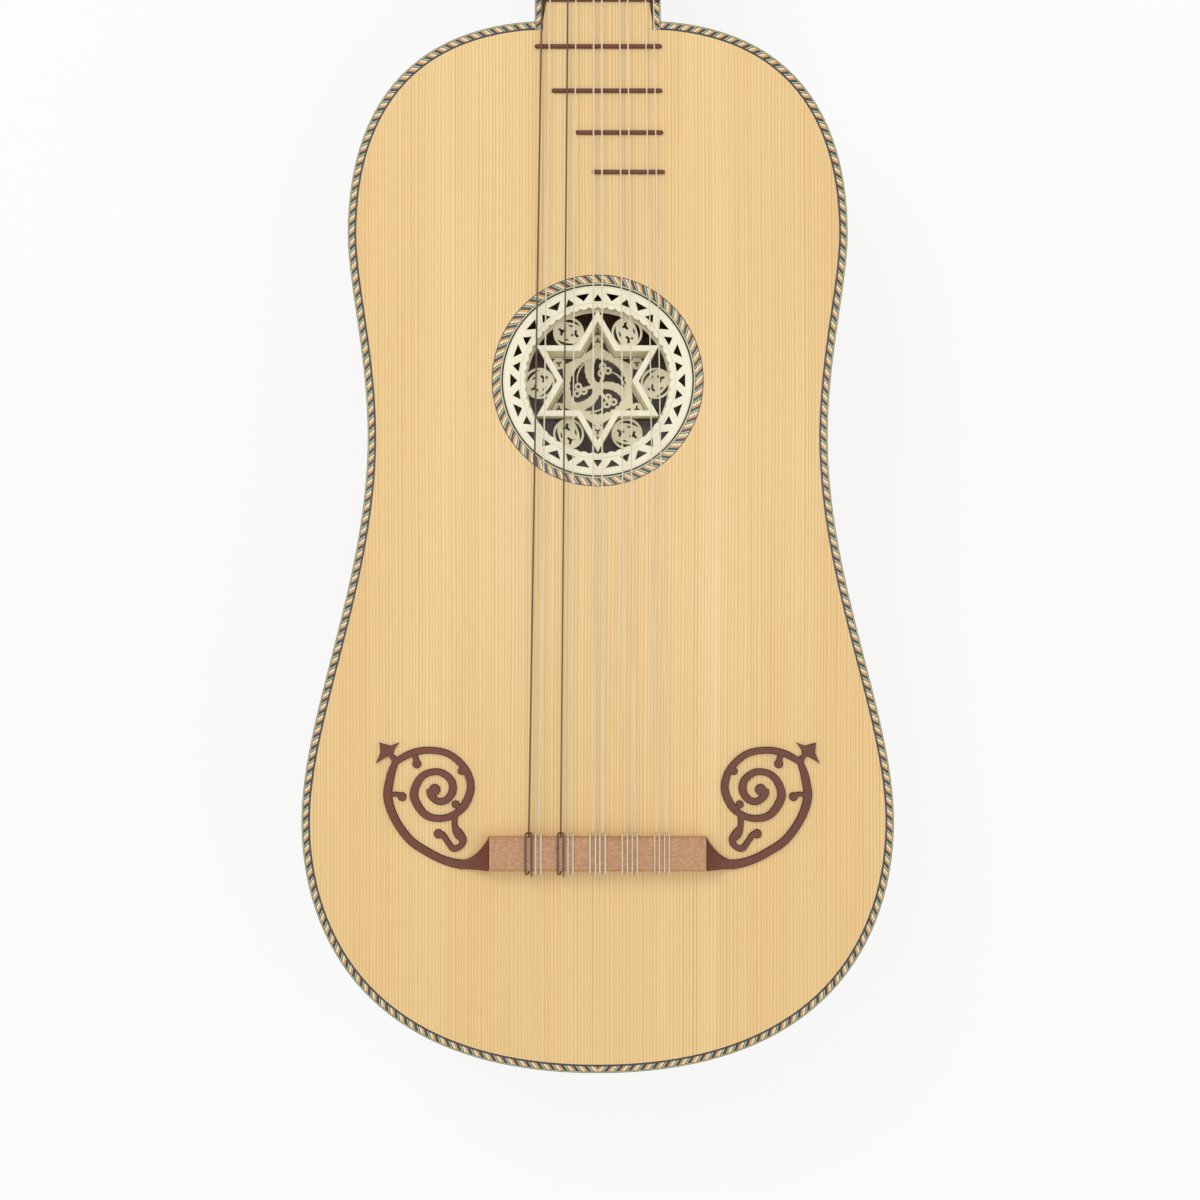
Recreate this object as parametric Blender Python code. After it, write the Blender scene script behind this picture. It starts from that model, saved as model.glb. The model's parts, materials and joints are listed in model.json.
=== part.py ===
# Five-course baroque guitar, lying on its flat back with the soundboard up.
# Metres. X runs from the bass side to the treble side, Y from the tail to the head, Z up.
# Lengths below are measured from the tail and from the top face of the soundboard.

import math

import bmesh
import bpy
from mathutils import Matrix, Vector
from mathutils.geometry import interpolate_bezier

MM = 0.001

# Clearances
GAP = 0.3 * MM            # between a piece and what it lies on or in
COIL_GAP = 0.45 * MM      # between two turns of a string

# Body
BODY_LENGTH = 462.4 * MM
BODY_DEPTH = 90 * MM
LOWER_BOUT = 260.4 * MM
LOWER_BOUT_AT = 110.6 * MM
WAIST = 202.2 * MM
WAIST_AT = 279.6 * MM
UPPER_BOUT = 219.7 * MM
UPPER_BOUT_AT = 369.0 * MM
TOP_THICK = 2.4 * MM
BACK_THICK = 2.5 * MM
RIB_THICK = 2.0 * MM
ROPE_WIDTH = 3.6 * MM
ROPE_DEPTH = 1.2 * MM
NECK_BLOCK_DEEP = 30 * MM
TAIL_BLOCK_REACH = 32 * MM
TAIL_BLOCK_DEEP = 14 * MM
BAR_THICK = 6 * MM
TOP_BAR_HIGH = 14 * MM
BACK_BAR_HIGH = 12 * MM
BAR_CLEAR = 6 * MM        # from the rose's rope to the bars on both sides of it
BACK_BAR_IN = 20 * MM     # from the widest line of a bout to the bar in it

# Strings
STRING_LENGTH = 655 * MM
NECK_JOINT_FRET = 10      # the fret that lies just past the end of the body
NECK_JOINT_TO_FRET = 9.5 * MM
BRIDGE_FRONT = BODY_LENGTH + NECK_JOINT_TO_FRET - STRING_LENGTH * 2 ** (-NECK_JOINT_FRET / 12)
STRING_SPAN_BRIDGE = 60.3 * MM
STRING_SPAN_NUT = 40.0 * MM
COURSE_SPACE_BRIDGE = 4.3 * MM
COURSE_SPACE_NUT = 3.0 * MM
STRING_HIGH_BRIDGE = 4.0 * MM
STRING_HIGH_NUT = 2.1 * MM
COURSE_DIAMETERS = ((0.85, 0.70), (0.80, 0.62), (0.75, 0.75), (0.65, 0.65), (0.55, 0.55))

# Neck and fingerboard
NECK_WIDTH_BODY = 55.4 * MM
NECK_WIDTH_NUT = 47.0 * MM
NECK_DEPTH_BODY = 22 * MM
NECK_DEPTH_NUT = 18 * MM
HEEL_LENGTH = 62 * MM
HEEL_SHORT_OF_BACK = 4 * MM
TONGUE_LENGTH = 40 * MM
NUT_THICK = 5 * MM

# Head and pegs
HEAD_LENGTH = 190 * MM
HEAD_THICK = 13 * MM
HEAD_ANGLE = math.radians(8)
HEAD_WIDE = 70 * MM
PEG_FIRST = 36 * MM
PEG_STEP = 27 * MM
PEG_ROW = 24.5 * MM
PEG_RADIUS_FRONT = 3.3 * MM
PEG_RADIUS_BACK = 3.9 * MM
PEG_FRONT_LENGTH = 12 * MM
PEG_SIDES = 10
WIND_HEIGHT = 4.0 * MM
WIND_TURNS = 2.25
WIND_POINTS = 8

# Frets
FRET_HIGH = 1.0 * MM
FRET_WIDE = 1.85 * MM
TIED_FRETS = 9
TIED_DIAMETER_FIRST = 0.90 * MM
TIED_DIAMETER_STEP = 0.03 * MM

# Bridge and moustaches
BRIDGE_WIDTH = 94.6 * MM
BRIDGE_DEEP = 14.5 * MM
BRIDGE_HIGH = 8.0 * MM
BRIDGE_CHAMFER = 0.8 * MM
RAMP_LENGTH = 13 * MM
SCROLL_THICK = 1.0 * MM

# Rose
ROSE_AT = 304.5 * MM
ROSE_ROPE_OUTER = 46.5 * MM
ROSE_RADIUS = 41.9 * MM
RECESS_RADIUS = 32.6 * MM
RECESS_WALL = 1.2 * MM
PARCHMENT = 1.0 * MM
TOOTH = 0.9 * MM
RIM_TEETH = 52
RIM_LACE_OUTER = 38.6 * MM
RIM_LACE_INNER = 35.1 * MM
STAR_RADIUS = 31.0 * MM
STAR_BEAM = 2.4 * MM
GALLERY_DROP = 11 * MM
GALLERY_DISC_AT = 26.0 * MM
GALLERY_DISC = 7.1 * MM
FLOOR_DROP = 22 * MM
FLOOR_DISC_AT = 20.3 * MM
FLOOR_DISC = 2.7 * MM
WELL_RADIUS = 13.0 * MM
WELL_TEETH = 30
MEDALLION_DROP = 27 * MM
MEDALLION_RADIUS = 14.6 * MM

CURVE_STEPS = 8           # points on each quarter of the body outline
NUT_AT = BRIDGE_FRONT + STRING_LENGTH
UNDER_TOP = -TOP_THICK - GAP
ROPE_CUT = ROPE_WIDTH + GAP
NECK_START = BODY_LENGTH + GAP
NECK_END = NUT_AT + NUT_THICK + GAP
ROSE_CENTRE = Vector((0, ROSE_AT))


# Scene and materials

def clear_scene():
    for old in list(bpy.data.objects):
        bpy.data.objects.remove(old, do_unlink=True)


def material(name, colour, roughness):
    made = bpy.data.materials.new(name)
    made.use_nodes = True
    shader = made.node_tree.nodes["Principled BSDF"]
    shader.inputs["Base Color"].default_value = (*colour, 1)
    shader.inputs["Roughness"].default_value = roughness
    shader.inputs["Metallic"].default_value = 0
    return made


def place(name, mesh, finish, parent, location=(0, 0, 0)):
    made = bpy.data.objects.new(name, mesh)
    bpy.context.collection.objects.link(made)
    made.parent = parent
    made.location = location
    made.data.materials.append(finish)
    return made


def mesh_from(bm, name, smooth_under=0):
    bmesh.ops.remove_doubles(bm, verts=bm.verts, dist=1e-6)
    bmesh.ops.recalc_face_normals(bm, faces=bm.faces)
    mesh = bpy.data.meshes.new(name)
    bm.to_mesh(mesh)
    bm.free()
    if smooth_under:
        mesh.shade_smooth()
        mesh.set_sharp_from_angle(angle=math.radians(smooth_under))
    return mesh


# Flat and lofted solids

def plate_mesh(name, loops, top, thick, smooth_under=30):
    """A flat plate: the first loop is its edge, the others are holes in it."""
    bm = bmesh.new()
    edges = []
    for loop in loops:
        verts = [bm.verts.new((x, y, top)) for x, y in loop]
        for here, there in zip(verts, verts[1:] + verts[:1]):
            edges.append(bm.edges.new((here, there)))
    bmesh.ops.triangle_fill(bm, edges=edges, use_beauty=True)
    grown = bmesh.ops.extrude_face_region(bm, geom=list(bm.faces), use_keep_orig=True)
    moved = [item for item in grown["geom"] if isinstance(item, bmesh.types.BMVert)]
    bmesh.ops.translate(bm, verts=moved, vec=(0, 0, -thick))
    return mesh_from(bm, name, smooth_under)


def loft_mesh(name, rings, smooth_under=40):
    """A closed solid through rings of points that all have the same count."""
    bm = bmesh.new()
    made = [[bm.verts.new(point) for point in ring] for ring in rings]
    count = len(made[0])
    for low, high in zip(made, made[1:]):
        for i in range(count):
            j = (i + 1) % count
            bm.faces.new((low[i], low[j], high[j], high[i]))
    bm.faces.new(made[0])
    bm.faces.new(made[-1])
    return mesh_from(bm, name, smooth_under)


def helper(name, mesh, parent, finish):
    made = place(name, mesh, finish, parent)
    made.hide_render = True
    made.display_type = "WIRE"
    return made


def joined(name, meshes):
    """One mesh of several that don't meet."""
    bm = bmesh.new()
    for mesh in meshes:
        bm.from_mesh(mesh)
    return mesh_from(bm, name)


def boolean(target, tool, operation):
    cut = target.modifiers.new(operation.lower(), "BOOLEAN")
    cut.operation = operation
    cut.solver = "EXACT"
    cut.object = tool
    return cut


def circle(radius, count, centre=(0, 0), start=0.0):
    turn = 2 * math.pi / count
    return [Vector((centre[0] + radius * math.cos(start + turn * i),
                    centre[1] + radius * math.sin(start + turn * i))) for i in range(count)]


def smooth_path(points, steps):
    """Points on a smooth curve through the given ones."""
    points = [Vector(p) for p in points]
    ends = [2 * points[0] - points[1]] + points + [2 * points[-1] - points[-2]]
    path = []
    for before, here, there, after in zip(ends, ends[1:], ends[2:], ends[3:]):
        for step in range(steps):
            t = step / steps
            path.append(0.5 * (2 * here + (there - before) * t
                               + (2 * before - 5 * here + 4 * there - after) * t ** 2
                               + (3 * here - before - 3 * there + after) * t ** 3))
    path.append(points[-1])
    return path


# Body outline

def half_outline():
    """The treble half of the outline, from the tail to the corner at the neck."""
    corner = Vector((NECK_WIDTH_BODY / 2, BODY_LENGTH))
    tail = Vector((0, 0))
    lower = Vector((LOWER_BOUT / 2, LOWER_BOUT_AT))
    waist = Vector((WAIST / 2, WAIST_AT))
    upper = Vector((UPPER_BOUT / 2, UPPER_BOUT_AT))
    rise = Vector((0, 1 * MM))
    knots = (
        (tail, tail + Vector((102.6 * MM, 0)), lower - 49.7 * rise, lower),
        (lower, lower + 46.1 * rise, waist - 63.3 * rise, waist),
        (waist, waist + 35.3 * rise, upper - 21.8 * rise, upper),
        (upper, upper + 48.7 * rise, corner + Vector((60.9 * MM, -3.7 * MM)), corner),
    )
    points = []
    for a, b, c, d in knots:
        run = interpolate_bezier(a.to_3d(), b.to_3d(), c.to_3d(), d.to_3d(), CURVE_STEPS)
        points += [p.to_2d() for p in run[:-1]]
    return points + [corner]


HALF = half_outline()


def inset_half(distance):
    """The half outline moved inwards, square to itself; its ends stay on their own lines."""
    moved = []
    for i, point in enumerate(HALF):
        before = HALF[max(i - 1, 0)]
        after = HALF[min(i + 1, len(HALF) - 1)]
        along = (after - before).normalized()
        moved.append(point + distance * Vector((-along.y, along.x)))
    moved[0] = Vector((0, distance))
    moved[-1] = Vector((HALF[-1].x, HALF[-1].y - distance))
    return moved


def mirrored(half):
    """A whole run from the bass side round the tail to the treble side."""
    return [Vector((-p.x, p.y)) for p in reversed(half[1:])] + half


def half_width(y, distance=0.0):
    """Half the width inside the given inset at a height on the body."""
    run = inset_half(distance)
    for low, high in zip(run, run[1:]):
        if low.y <= y <= high.y:
            return low.x + (high.x - low.x) * (y - low.y) / (high.y - low.y)
    return 0.0


def neck_half(y):
    """Half the width of the neck's top face."""
    share = (y - BODY_LENGTH) / (NUT_AT - BODY_LENGTH)
    return (NECK_WIDTH_BODY + (NECK_WIDTH_NUT - NECK_WIDTH_BODY) * share) / 2


# Soundboard, back and ribs

def tongue_half(clear=0.0):
    """The treble edge of the tongue, from the body up to its point."""
    side = neck_half(BODY_LENGTH) - ROPE_CUT
    foot = BODY_LENGTH - ROPE_CUT
    tip = BODY_LENGTH + TONGUE_LENGTH
    narrow = side - 2.4 * MM
    run = smooth_path([(narrow, BODY_LENGTH + 14 * MM, 0), (0.80 * side, tip - 12 * MM, 0),
                       (0.42 * side, tip - 6 * MM, 0), (0, tip, 0)], 2)
    edge = [Vector((side, foot)), Vector((side, BODY_LENGTH))] + [p.to_2d() for p in run]
    return [Vector((p.x + clear if p.x > 0 else 0, p.y + clear * 0.7)) for p in edge]


def soundboard(parent, finish):
    tongue = tongue_half()
    tongue_loop = tongue[1:] + [Vector((-p.x, p.y)) for p in reversed(tongue[1:-1])]
    mesh = plate_mesh("soundboard", [mirrored(HALF) + tongue_loop,
                                     circle(ROSE_RADIUS, 36, ROSE_CENTRE)], 0, TOP_THICK)
    made = place("soundboard", mesh, finish, parent)
    reach = 1 * MM
    outer = mirrored(inset_half(-reach))
    outer[0].y = outer[-1].y = BODY_LENGTH + reach
    inner = mirrored(inset_half(ROPE_CUT))
    side = tongue[0].x
    corner = BODY_LENGTH - ROPE_CUT
    clear = side + 0.25 * MM
    groove = (outer + [Vector((clear, BODY_LENGTH + reach)), Vector((side, corner))]
              + list(reversed(inner[1:-1]))
              + [Vector((-side, corner)), Vector((-clear, BODY_LENGTH + reach))])
    band = plate_mesh("edge_groove", [groove], reach, reach + ROPE_DEPTH + GAP)
    ring = plate_mesh("rose_groove", [circle(ROSE_ROPE_OUTER + GAP, 36, ROSE_CENTRE),
                                          circle(ROSE_RADIUS - reach, 36, ROSE_CENTRE)],
                      reach, reach + ROPE_DEPTH + GAP)
    cutter = helper("cut_grooves", joined("cut_grooves", (band, ring)), parent, finish)
    boolean(made, cutter, "DIFFERENCE")


def edge_rope(parent, finish):
    outer = mirrored(HALF)
    inner = mirrored(inset_half(ROPE_WIDTH))
    mesh = plate_mesh("edge_rope", [outer + list(reversed(inner))], 0, ROPE_DEPTH)
    place("edge_rope", mesh, finish, parent)


def rose_rope(parent, finish):
    rings = [circle(ROSE_ROPE_OUTER, 36, ROSE_CENTRE),
             circle(ROSE_RADIUS + GAP, 36, ROSE_CENTRE)]
    place("rose_rope", plate_mesh("rose_rope", rings, 0, ROPE_DEPTH), finish, parent)


def neck_ropes(parent, finish):
    """Two straight bands along the neck, from inside the body's corners to the nut."""
    foot = BODY_LENGTH - ROPE_WIDTH
    top = NUT_AT - GAP
    for side, name in ((-1, "neck_rope_bass"), (1, "neck_rope_treble")):
        loop = []
        for y, inwards in ((foot, GAP), (top, GAP), (top, ROPE_WIDTH), (foot, ROPE_WIDTH)):
            edge = min(neck_half(y), neck_half(BODY_LENGTH))
            loop.append(Vector((side * (edge - inwards), y)))
        place(name, plate_mesh(name, [loop], 0, ROPE_DEPTH), finish, parent)


def ribs(parent, finish):
    bottom = -BODY_DEPTH + BACK_THICK + GAP
    for side, name in ((-1, "rib_bass"), (1, "rib_treble")):
        outer = inset_half(0)
        inner = inset_half(RIB_THICK)
        outer[0].x = inner[0].x = GAP / 2
        rings = []
        for out, in_ in zip(outer, inner):
            rings.append([(side * out.x, out.y, bottom), (side * out.x, out.y, UNDER_TOP),
                          (side * in_.x, in_.y, UNDER_TOP), (side * in_.x, in_.y, bottom)])
        place(name, loft_mesh(name, rings), finish, parent)


def back(parent, finish):
    mesh = plate_mesh("back", [mirrored(HALF)], -BODY_DEPTH + BACK_THICK, BACK_THICK)
    place("back", mesh, finish, parent)


def blocks(parent, finish):
    floor = -BODY_DEPTH + BACK_THICK + GAP
    high = UNDER_TOP - floor
    half = NECK_WIDTH_BODY / 2 - GAP
    deep = NECK_BLOCK_DEEP
    loop = [(half, BODY_LENGTH), (-half, BODY_LENGTH), (-half * 0.9, BODY_LENGTH - deep),
            (half * 0.9, BODY_LENGTH - deep)]
    place("neck_block", plate_mesh("neck_block", [[Vector(p) for p in loop]], UNDER_TOP, high),
          finish, parent)
    reach = TAIL_BLOCK_REACH
    tail = [p for p in mirrored(inset_half(RIB_THICK + GAP)) if abs(p.x) < reach
            and p.y < LOWER_BOUT_AT]
    thick = TAIL_BLOCK_DEEP
    tail += [Vector((reach * 0.8, thick + tail[-1].y)), Vector((-reach * 0.8, thick + tail[-1].y))]
    place("tail_block", plate_mesh("tail_block", [tail], UNDER_TOP, high), finish, parent)


def bar(name, y, top, high, wide, parent, finish):
    """A brace across the body, thinned towards both ends. A negative height stands up."""
    half = half_width(y, RIB_THICK + 1 * MM) - 1 * MM
    end = high * 0.35
    bottom = top - high
    profile = [(-half, top), (half, top), (half, top - end), (half * 0.8, bottom),
               (-half * 0.8, bottom), (-half, top - end)]
    rings = [[(x, y + side * wide / 2, z) for x, z in profile] for side in (-1, 1)]
    place(name, loft_mesh(name, rings), finish, parent)


def bars(parent, finish):
    beside_rose = ROSE_ROPE_OUTER + BAR_CLEAR
    bar("top_bar_lower", ROSE_AT - beside_rose, UNDER_TOP, TOP_BAR_HIGH, BAR_THICK,
        parent, finish)
    bar("top_bar_upper", ROSE_AT + beside_rose, UNDER_TOP, TOP_BAR_HIGH, BAR_THICK,
        parent, finish)
    floor = -BODY_DEPTH + BACK_THICK + GAP
    for name, y in (("back_bar_lower", LOWER_BOUT_AT + BACK_BAR_IN),
                    ("back_bar_upper", UPPER_BOUT_AT - BACK_BAR_IN)):
        bar(name, y, floor, -BACK_BAR_HIGH, BAR_THICK, parent, finish)


# Neck, fingerboard, nut and head

def neck_depth(y):
    """How far the neck reaches below its top face: the heel sweeps down to the back."""
    share = (y - NECK_START) / (NECK_END - NECK_START)
    plain = NECK_DEPTH_BODY + (NECK_DEPTH_NUT - NECK_DEPTH_BODY) * share
    heel = max(0.0, 1 - (y - NECK_START) / HEEL_LENGTH)
    full = BODY_DEPTH - TOP_THICK - HEEL_SHORT_OF_BACK
    return plain + (full - plain) * heel ** 2.6


def neck_section(y, points=12, out=0.0):
    """Half round on the shaft and drawn to a keel on the heel, from bass edge to treble."""
    heel = max(0.0, 1 - (y - NECK_START) / HEEL_LENGTH)
    power = 2.3 - 1.0 * heel
    wide = neck_half(min(y, NUT_AT)) + out
    deep = neck_depth(y) + out
    ring = []
    for i in range(points + 1):
        angle = math.pi * i / points
        c, s = math.cos(angle), math.sin(angle)
        x = -wide * math.copysign(abs(c) ** (2 / power), c)
        ring.append((x, y, UNDER_TOP - deep * s ** (2 / power)))
    return ring


def neck(parent, finish):
    heel = [NECK_START + HEEL_LENGTH * share for share in (0, 0.06, 0.14, 0.25, 0.38, 0.7, 1)]
    frets = [fret_place(TIED_FRETS), fret_place(TIED_FRETS - 1)]
    heel = sorted(heel + [y for y in frets if y > NECK_START + 1 * MM])
    shaft = [NECK_START + HEEL_LENGTH + 70 * MM, NECK_START + HEEL_LENGTH + 150 * MM, NECK_END]
    rings = [neck_section(y) for y in heel + shaft]
    place("neck", loft_mesh("neck", rings, 50), finish, parent)


def fingerboard(parent, finish):
    """Veneer between the neck ropes, with the soundboard's tongue let into its lower end."""
    top = NUT_AT - GAP
    inwards = ROPE_CUT
    foot = BODY_LENGTH + 4 * MM
    tongue = [p for p in tongue_half(GAP) if p.y > foot + 1 * MM]
    half = [Vector((neck_half(top) - inwards, top)), Vector((neck_half(foot) - inwards, foot))]
    half += tongue
    loop = half + [Vector((-p.x, p.y)) for p in reversed(half[:-1])]
    place("fingerboard", plate_mesh("fingerboard", [loop], 0, TOP_THICK), finish, parent)


def string_seats():
    """Each string's place across the bridge and the nut, and its radius, bass to treble."""
    seats = []
    courses = len(COURSE_DIAMETERS)
    for course, pair in enumerate(COURSE_DIAMETERS):
        share = course / (courses - 1) - 0.5
        bridge = share * (STRING_SPAN_BRIDGE - COURSE_SPACE_BRIDGE)
        nut = share * (STRING_SPAN_NUT - COURSE_SPACE_NUT)
        for side, diameter in zip((-0.5, 0.5), pair):
            seats.append((bridge + side * COURSE_SPACE_BRIDGE, nut + side * COURSE_SPACE_NUT,
                          diameter * MM / 2))
    return seats


def nut(parent, finish):
    """A bone bar with a notch under each string."""
    top = STRING_HIGH_NUT
    half = neck_half(NUT_AT) - GAP
    profile = [(-half, UNDER_TOP + GAP), (-half, top - 1.2 * MM), (-half + 1.2 * MM, top)]
    for _, x, radius in string_seats():
        low = STRING_HIGH_NUT - radius - GAP
        profile += [(x - radius - GAP, top), (x - radius * 0.6, low), (x + radius * 0.6, low),
                    (x + radius + GAP, top)]
    profile += [(half - 1.2 * MM, top), (half, top - 1.2 * MM), (half, UNDER_TOP + GAP)]
    rings = [[(x, y, z) for x, z in profile] for y in (NUT_AT, NUT_AT + NUT_THICK)]
    place("nut", loft_mesh("nut", rings, 20), finish, parent)


def head_half():
    """The treble edge of the head: waist at the nut, straight flare, three-lobed crest."""
    start = neck_half(NUT_AT)
    wide = HEAD_WIDE / 2
    flare = smooth_path([(start, 0, 0), (start + 1 * MM, 8 * MM, 0), (wide - 5.5 * MM, 20 * MM, 0),
                         (wide - 4 * MM, 30 * MM, 0)], 2)
    shoulder = HEAD_LENGTH - 26 * MM
    crest = smooth_path([(wide, shoulder, 0), (wide - 2 * MM, shoulder + 7 * MM, 0),
                         (wide - 9 * MM, shoulder + 9 * MM, 0),
                         (wide - 15 * MM, shoulder + 5 * MM, 0),
                         (wide - 18 * MM, shoulder + 9 * MM, 0),
                         (wide - 19 * MM, shoulder + 18 * MM, 0),
                         (wide - 26 * MM, shoulder + 25 * MM, 0), (0, HEAD_LENGTH, 0)], 2)
    return [p.to_2d() for p in flare + crest]


def head_frame(parent):
    """An empty at the front of the head's face, tipped back by the head's angle."""
    made = bpy.data.objects.new("head_frame", None)
    bpy.context.collection.objects.link(made)
    made.parent = parent
    made.location = (0, NECK_END + GAP, UNDER_TOP)
    made.rotation_euler = (-HEAD_ANGLE, 0, 0)
    return made


def on_head(x, y, z):
    """A point of the head's own frame, in the guitar's."""
    return Vector((0, NECK_END + GAP, UNDER_TOP)) + (
        Matrix.Rotation(-HEAD_ANGLE, 3, "X") @ Vector((x, y, z)))


def peg_seats():
    """Place on the head's face for each string's peg: the outer strings take the near pegs."""
    seats = []
    for i in range(10):
        row = i if i < 5 else 9 - i
        side = -1 if i < 5 else 1
        seats.append((side * (PEG_ROW + row * 0.4 * MM), PEG_FIRST + row * PEG_STEP))
    return seats


def peg_radius(z):
    """The tapered shaft's radius at a height over the head's face."""
    share = (PEG_FRONT_LENGTH - z) / (PEG_FRONT_LENGTH + HEAD_THICK)
    return PEG_RADIUS_FRONT + (PEG_RADIUS_BACK - PEG_RADIUS_FRONT) * share


def head(frame, finish):
    half = head_half()
    loop = half + [Vector((-p.x, p.y)) for p in reversed(half[:-1])]
    mesh = plate_mesh("head", [loop], 0, HEAD_THICK)
    undercut = HEAD_THICK * math.tan(HEAD_ANGLE)
    for vert in mesh.vertices:
        if vert.co.y < 1e-6 and vert.co.z < -HEAD_THICK / 2:
            vert.co.y += undercut
    made = place("head", mesh, finish, frame)
    reach = 1 * MM
    bm = bmesh.new()
    for x, y in peg_seats():
        rings = []
        for z in (-HEAD_THICK - reach, reach):
            ring = circle(peg_radius(z) + GAP, PEG_SIDES, (x, y))
            rings.append([bm.verts.new((p.x, p.y, z)) for p in ring])
        for i in range(PEG_SIDES):
            j = (i + 1) % PEG_SIDES
            bm.faces.new((rings[0][i], rings[0][j], rings[1][j], rings[1][i]))
        bm.faces.new(rings[0])
        bm.faces.new(rings[1])
    boolean(made, helper("cut_peg_holes", mesh_from(bm, "cut_peg_holes"), frame, finish),
            "DIFFERENCE")


def peg_mesh():
    """A tapered shaft with a collar and a flat rounded thumb piece behind the head."""
    behind = -HEAD_THICK - GAP
    tip = PEG_FRONT_LENGTH
    stem = (
        (tip, 0.55 * PEG_RADIUS_FRONT, 1), (tip - 0.8 * MM, PEG_RADIUS_FRONT * 0.95, 1),
        (tip - 1.6 * MM, PEG_RADIUS_FRONT, 1), (-HEAD_THICK, PEG_RADIUS_BACK, 1),
        (behind, PEG_RADIUS_BACK, 1), (behind - 0.01 * MM, 5.6 * MM, 1),
        (behind - 1.6 * MM, 6.0 * MM, 1), (behind - 3.0 * MM, 3.4 * MM, 1),
        (behind - 5.0 * MM, 3.6 * MM, 0.85), (behind - 8.0 * MM, 7.5 * MM, 0.42),
        (behind - 13.0 * MM, 9.0 * MM, 0.33), (behind - 18.0 * MM, 7.4 * MM, 0.33),
        (behind - 21.0 * MM, 3.2 * MM, 0.45),
    )
    rings = []
    for z, radius, flat in stem:
        ring = circle(radius, PEG_SIDES)
        rings.append([(p.x * flat, p.y, z) for p in ring])
    return loft_mesh("peg", rings, 45)


def pegs(frame, finish):
    mesh = peg_mesh()
    for i, (x, y) in enumerate(peg_seats()):
        made = place(f"peg_{i + 1:02d}", mesh.copy(), finish, frame, (x, y, 0))
        made.data.materials.clear()
        made.data.materials.append(finish)


# Frets

def fret_place(number):
    """Distance from the tail to a fret, by the equal-tempered rule."""
    return NUT_AT - STRING_LENGTH * (1 - 2 ** (-number / 12))


def wooden_frets(parent, finish):
    """Glued strips: bass end and treble end across the strings, from the photograph."""
    reach = {10: (-23.8, 27.3), 11: (-27.7, 28.2), 12: (-20.2, 28.4), 13: (-9.9, 28.8),
             14: (-2.5, 29.5)}
    for number, (left, right) in reach.items():
        y = fret_place(number)
        half = FRET_WIDE / 2
        rings = []
        for x, shrink in ((left * MM, 0.55), ((left + 0.8) * MM, 1), ((right - 0.8) * MM, 1),
                          (right * MM, 0.55)):
            profile = ((-half, 0), (-half, 0.55), (-half * 0.5, 1), (half * 0.5, 1),
                       (half, 0.55), (half, 0))
            rings.append([(x, y + across * shrink, GAP + high * FRET_HIGH * shrink)
                          for across, high in profile])
        place(f"fret_{number}", loft_mesh(f"fret_{number}", rings, 35), finish, parent)


def tube(name, points, radius, finish, parent, radii=None, ring=False, location=(0, 0, 0)):
    curve = bpy.data.curves.new(name, "CURVE")
    curve.dimensions = "3D"
    curve.bevel_depth = radius
    curve.bevel_resolution = 1
    curve.use_fill_caps = not ring
    spline = curve.splines.new("POLY")
    spline.points.add(len(points) - 1)
    for i, point in enumerate(points):
        spline.points[i].co = (*point, 1)
        spline.points[i].radius = radii[i] if radii else 1
    spline.use_cyclic_u = ring
    spline.use_smooth = True
    return place(name, curve, finish, parent, location)


def tied_frets(parent, finish):
    """Loops of gut round the neck, thinner up the neck, each with its knot on the bass side."""
    for number in range(1, TIED_FRETS + 1):
        y = fret_place(number)
        radius = (TIED_DIAMETER_FIRST - TIED_DIAMETER_STEP * (number - 1)) / 2
        out = GAP + radius
        under = neck_section(y, 12, out + 0.15 * MM)[1:-1]
        loop = [Vector((p[0], 0, p[2])) for p in under]
        edge = neck_half(y) + out
        loop += [Vector((edge, 0, UNDER_TOP / 2)), Vector((edge - 0.5 * MM, 0, out)),
                 Vector((-edge + 0.5 * MM, 0, out)), Vector((-edge, 0, UNDER_TOP / 2))]
        radii = [1.0] * len(loop)
        radii[0] = 1.7
        loop[0] += Vector((-0.7 * radius, 0, -0.2 * radius))
        tube(f"tied_fret_{number}", loop, radius, finish, parent, radii, True, (0, y, 0))


# Bridge and moustaches

def bridge(parent, finish):
    half = BRIDGE_WIDTH / 2
    back_face = BRIDGE_FRONT - BRIDGE_DEEP
    top = GAP + BRIDGE_HIGH
    cut = BRIDGE_CHAMFER
    profile = [(back_face, GAP), (BRIDGE_FRONT, GAP), (BRIDGE_FRONT, top - cut),
               (BRIDGE_FRONT - cut, top), (back_face + cut, top), (back_face, top - cut)]
    rings = [[(x, y, z) for y, z in profile] for x in (-half, half)]
    made = place("bridge", loft_mesh("bridge", rings, 20), finish, parent)
    reach = 1 * MM
    bm = bmesh.new()
    for x, _, radius in string_seats():
        ends = []
        for y in (back_face - reach, BRIDGE_FRONT + reach):
            ring = circle(radius + GAP + 0.1 * MM, 8)
            ends.append([bm.verts.new((x + p.x, y, STRING_HIGH_BRIDGE + p.y)) for p in ring])
        for i in range(8):
            j = (i + 1) % 8
            bm.faces.new((ends[0][i], ends[0][j], ends[1][j], ends[1][i]))
        bm.faces.new(ends[0])
        bm.faces.new(ends[1])
    boolean(made, helper("cut_string_holes", mesh_from(bm, "cut_string_holes"), parent, finish),
            "DIFFERENCE")


def stroke(points, widths, steps=2):
    """A flat ribbon's outline along a smooth line, its width given at each point."""
    line = smooth_path([(x, y, w) for (x, y), w in zip(points, widths)], steps)
    left, right = [], []
    for i, here in enumerate(line):
        along = (line[min(i + 1, len(line) - 1)] - line[max(i - 1, 0)]).to_2d().normalized()
        across = Vector((-along.y, along.x)) * here.z / 2
        left.append(here.to_2d() + across)
        right.append(here.to_2d() - across)
    return left + list(reversed(right))


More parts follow.
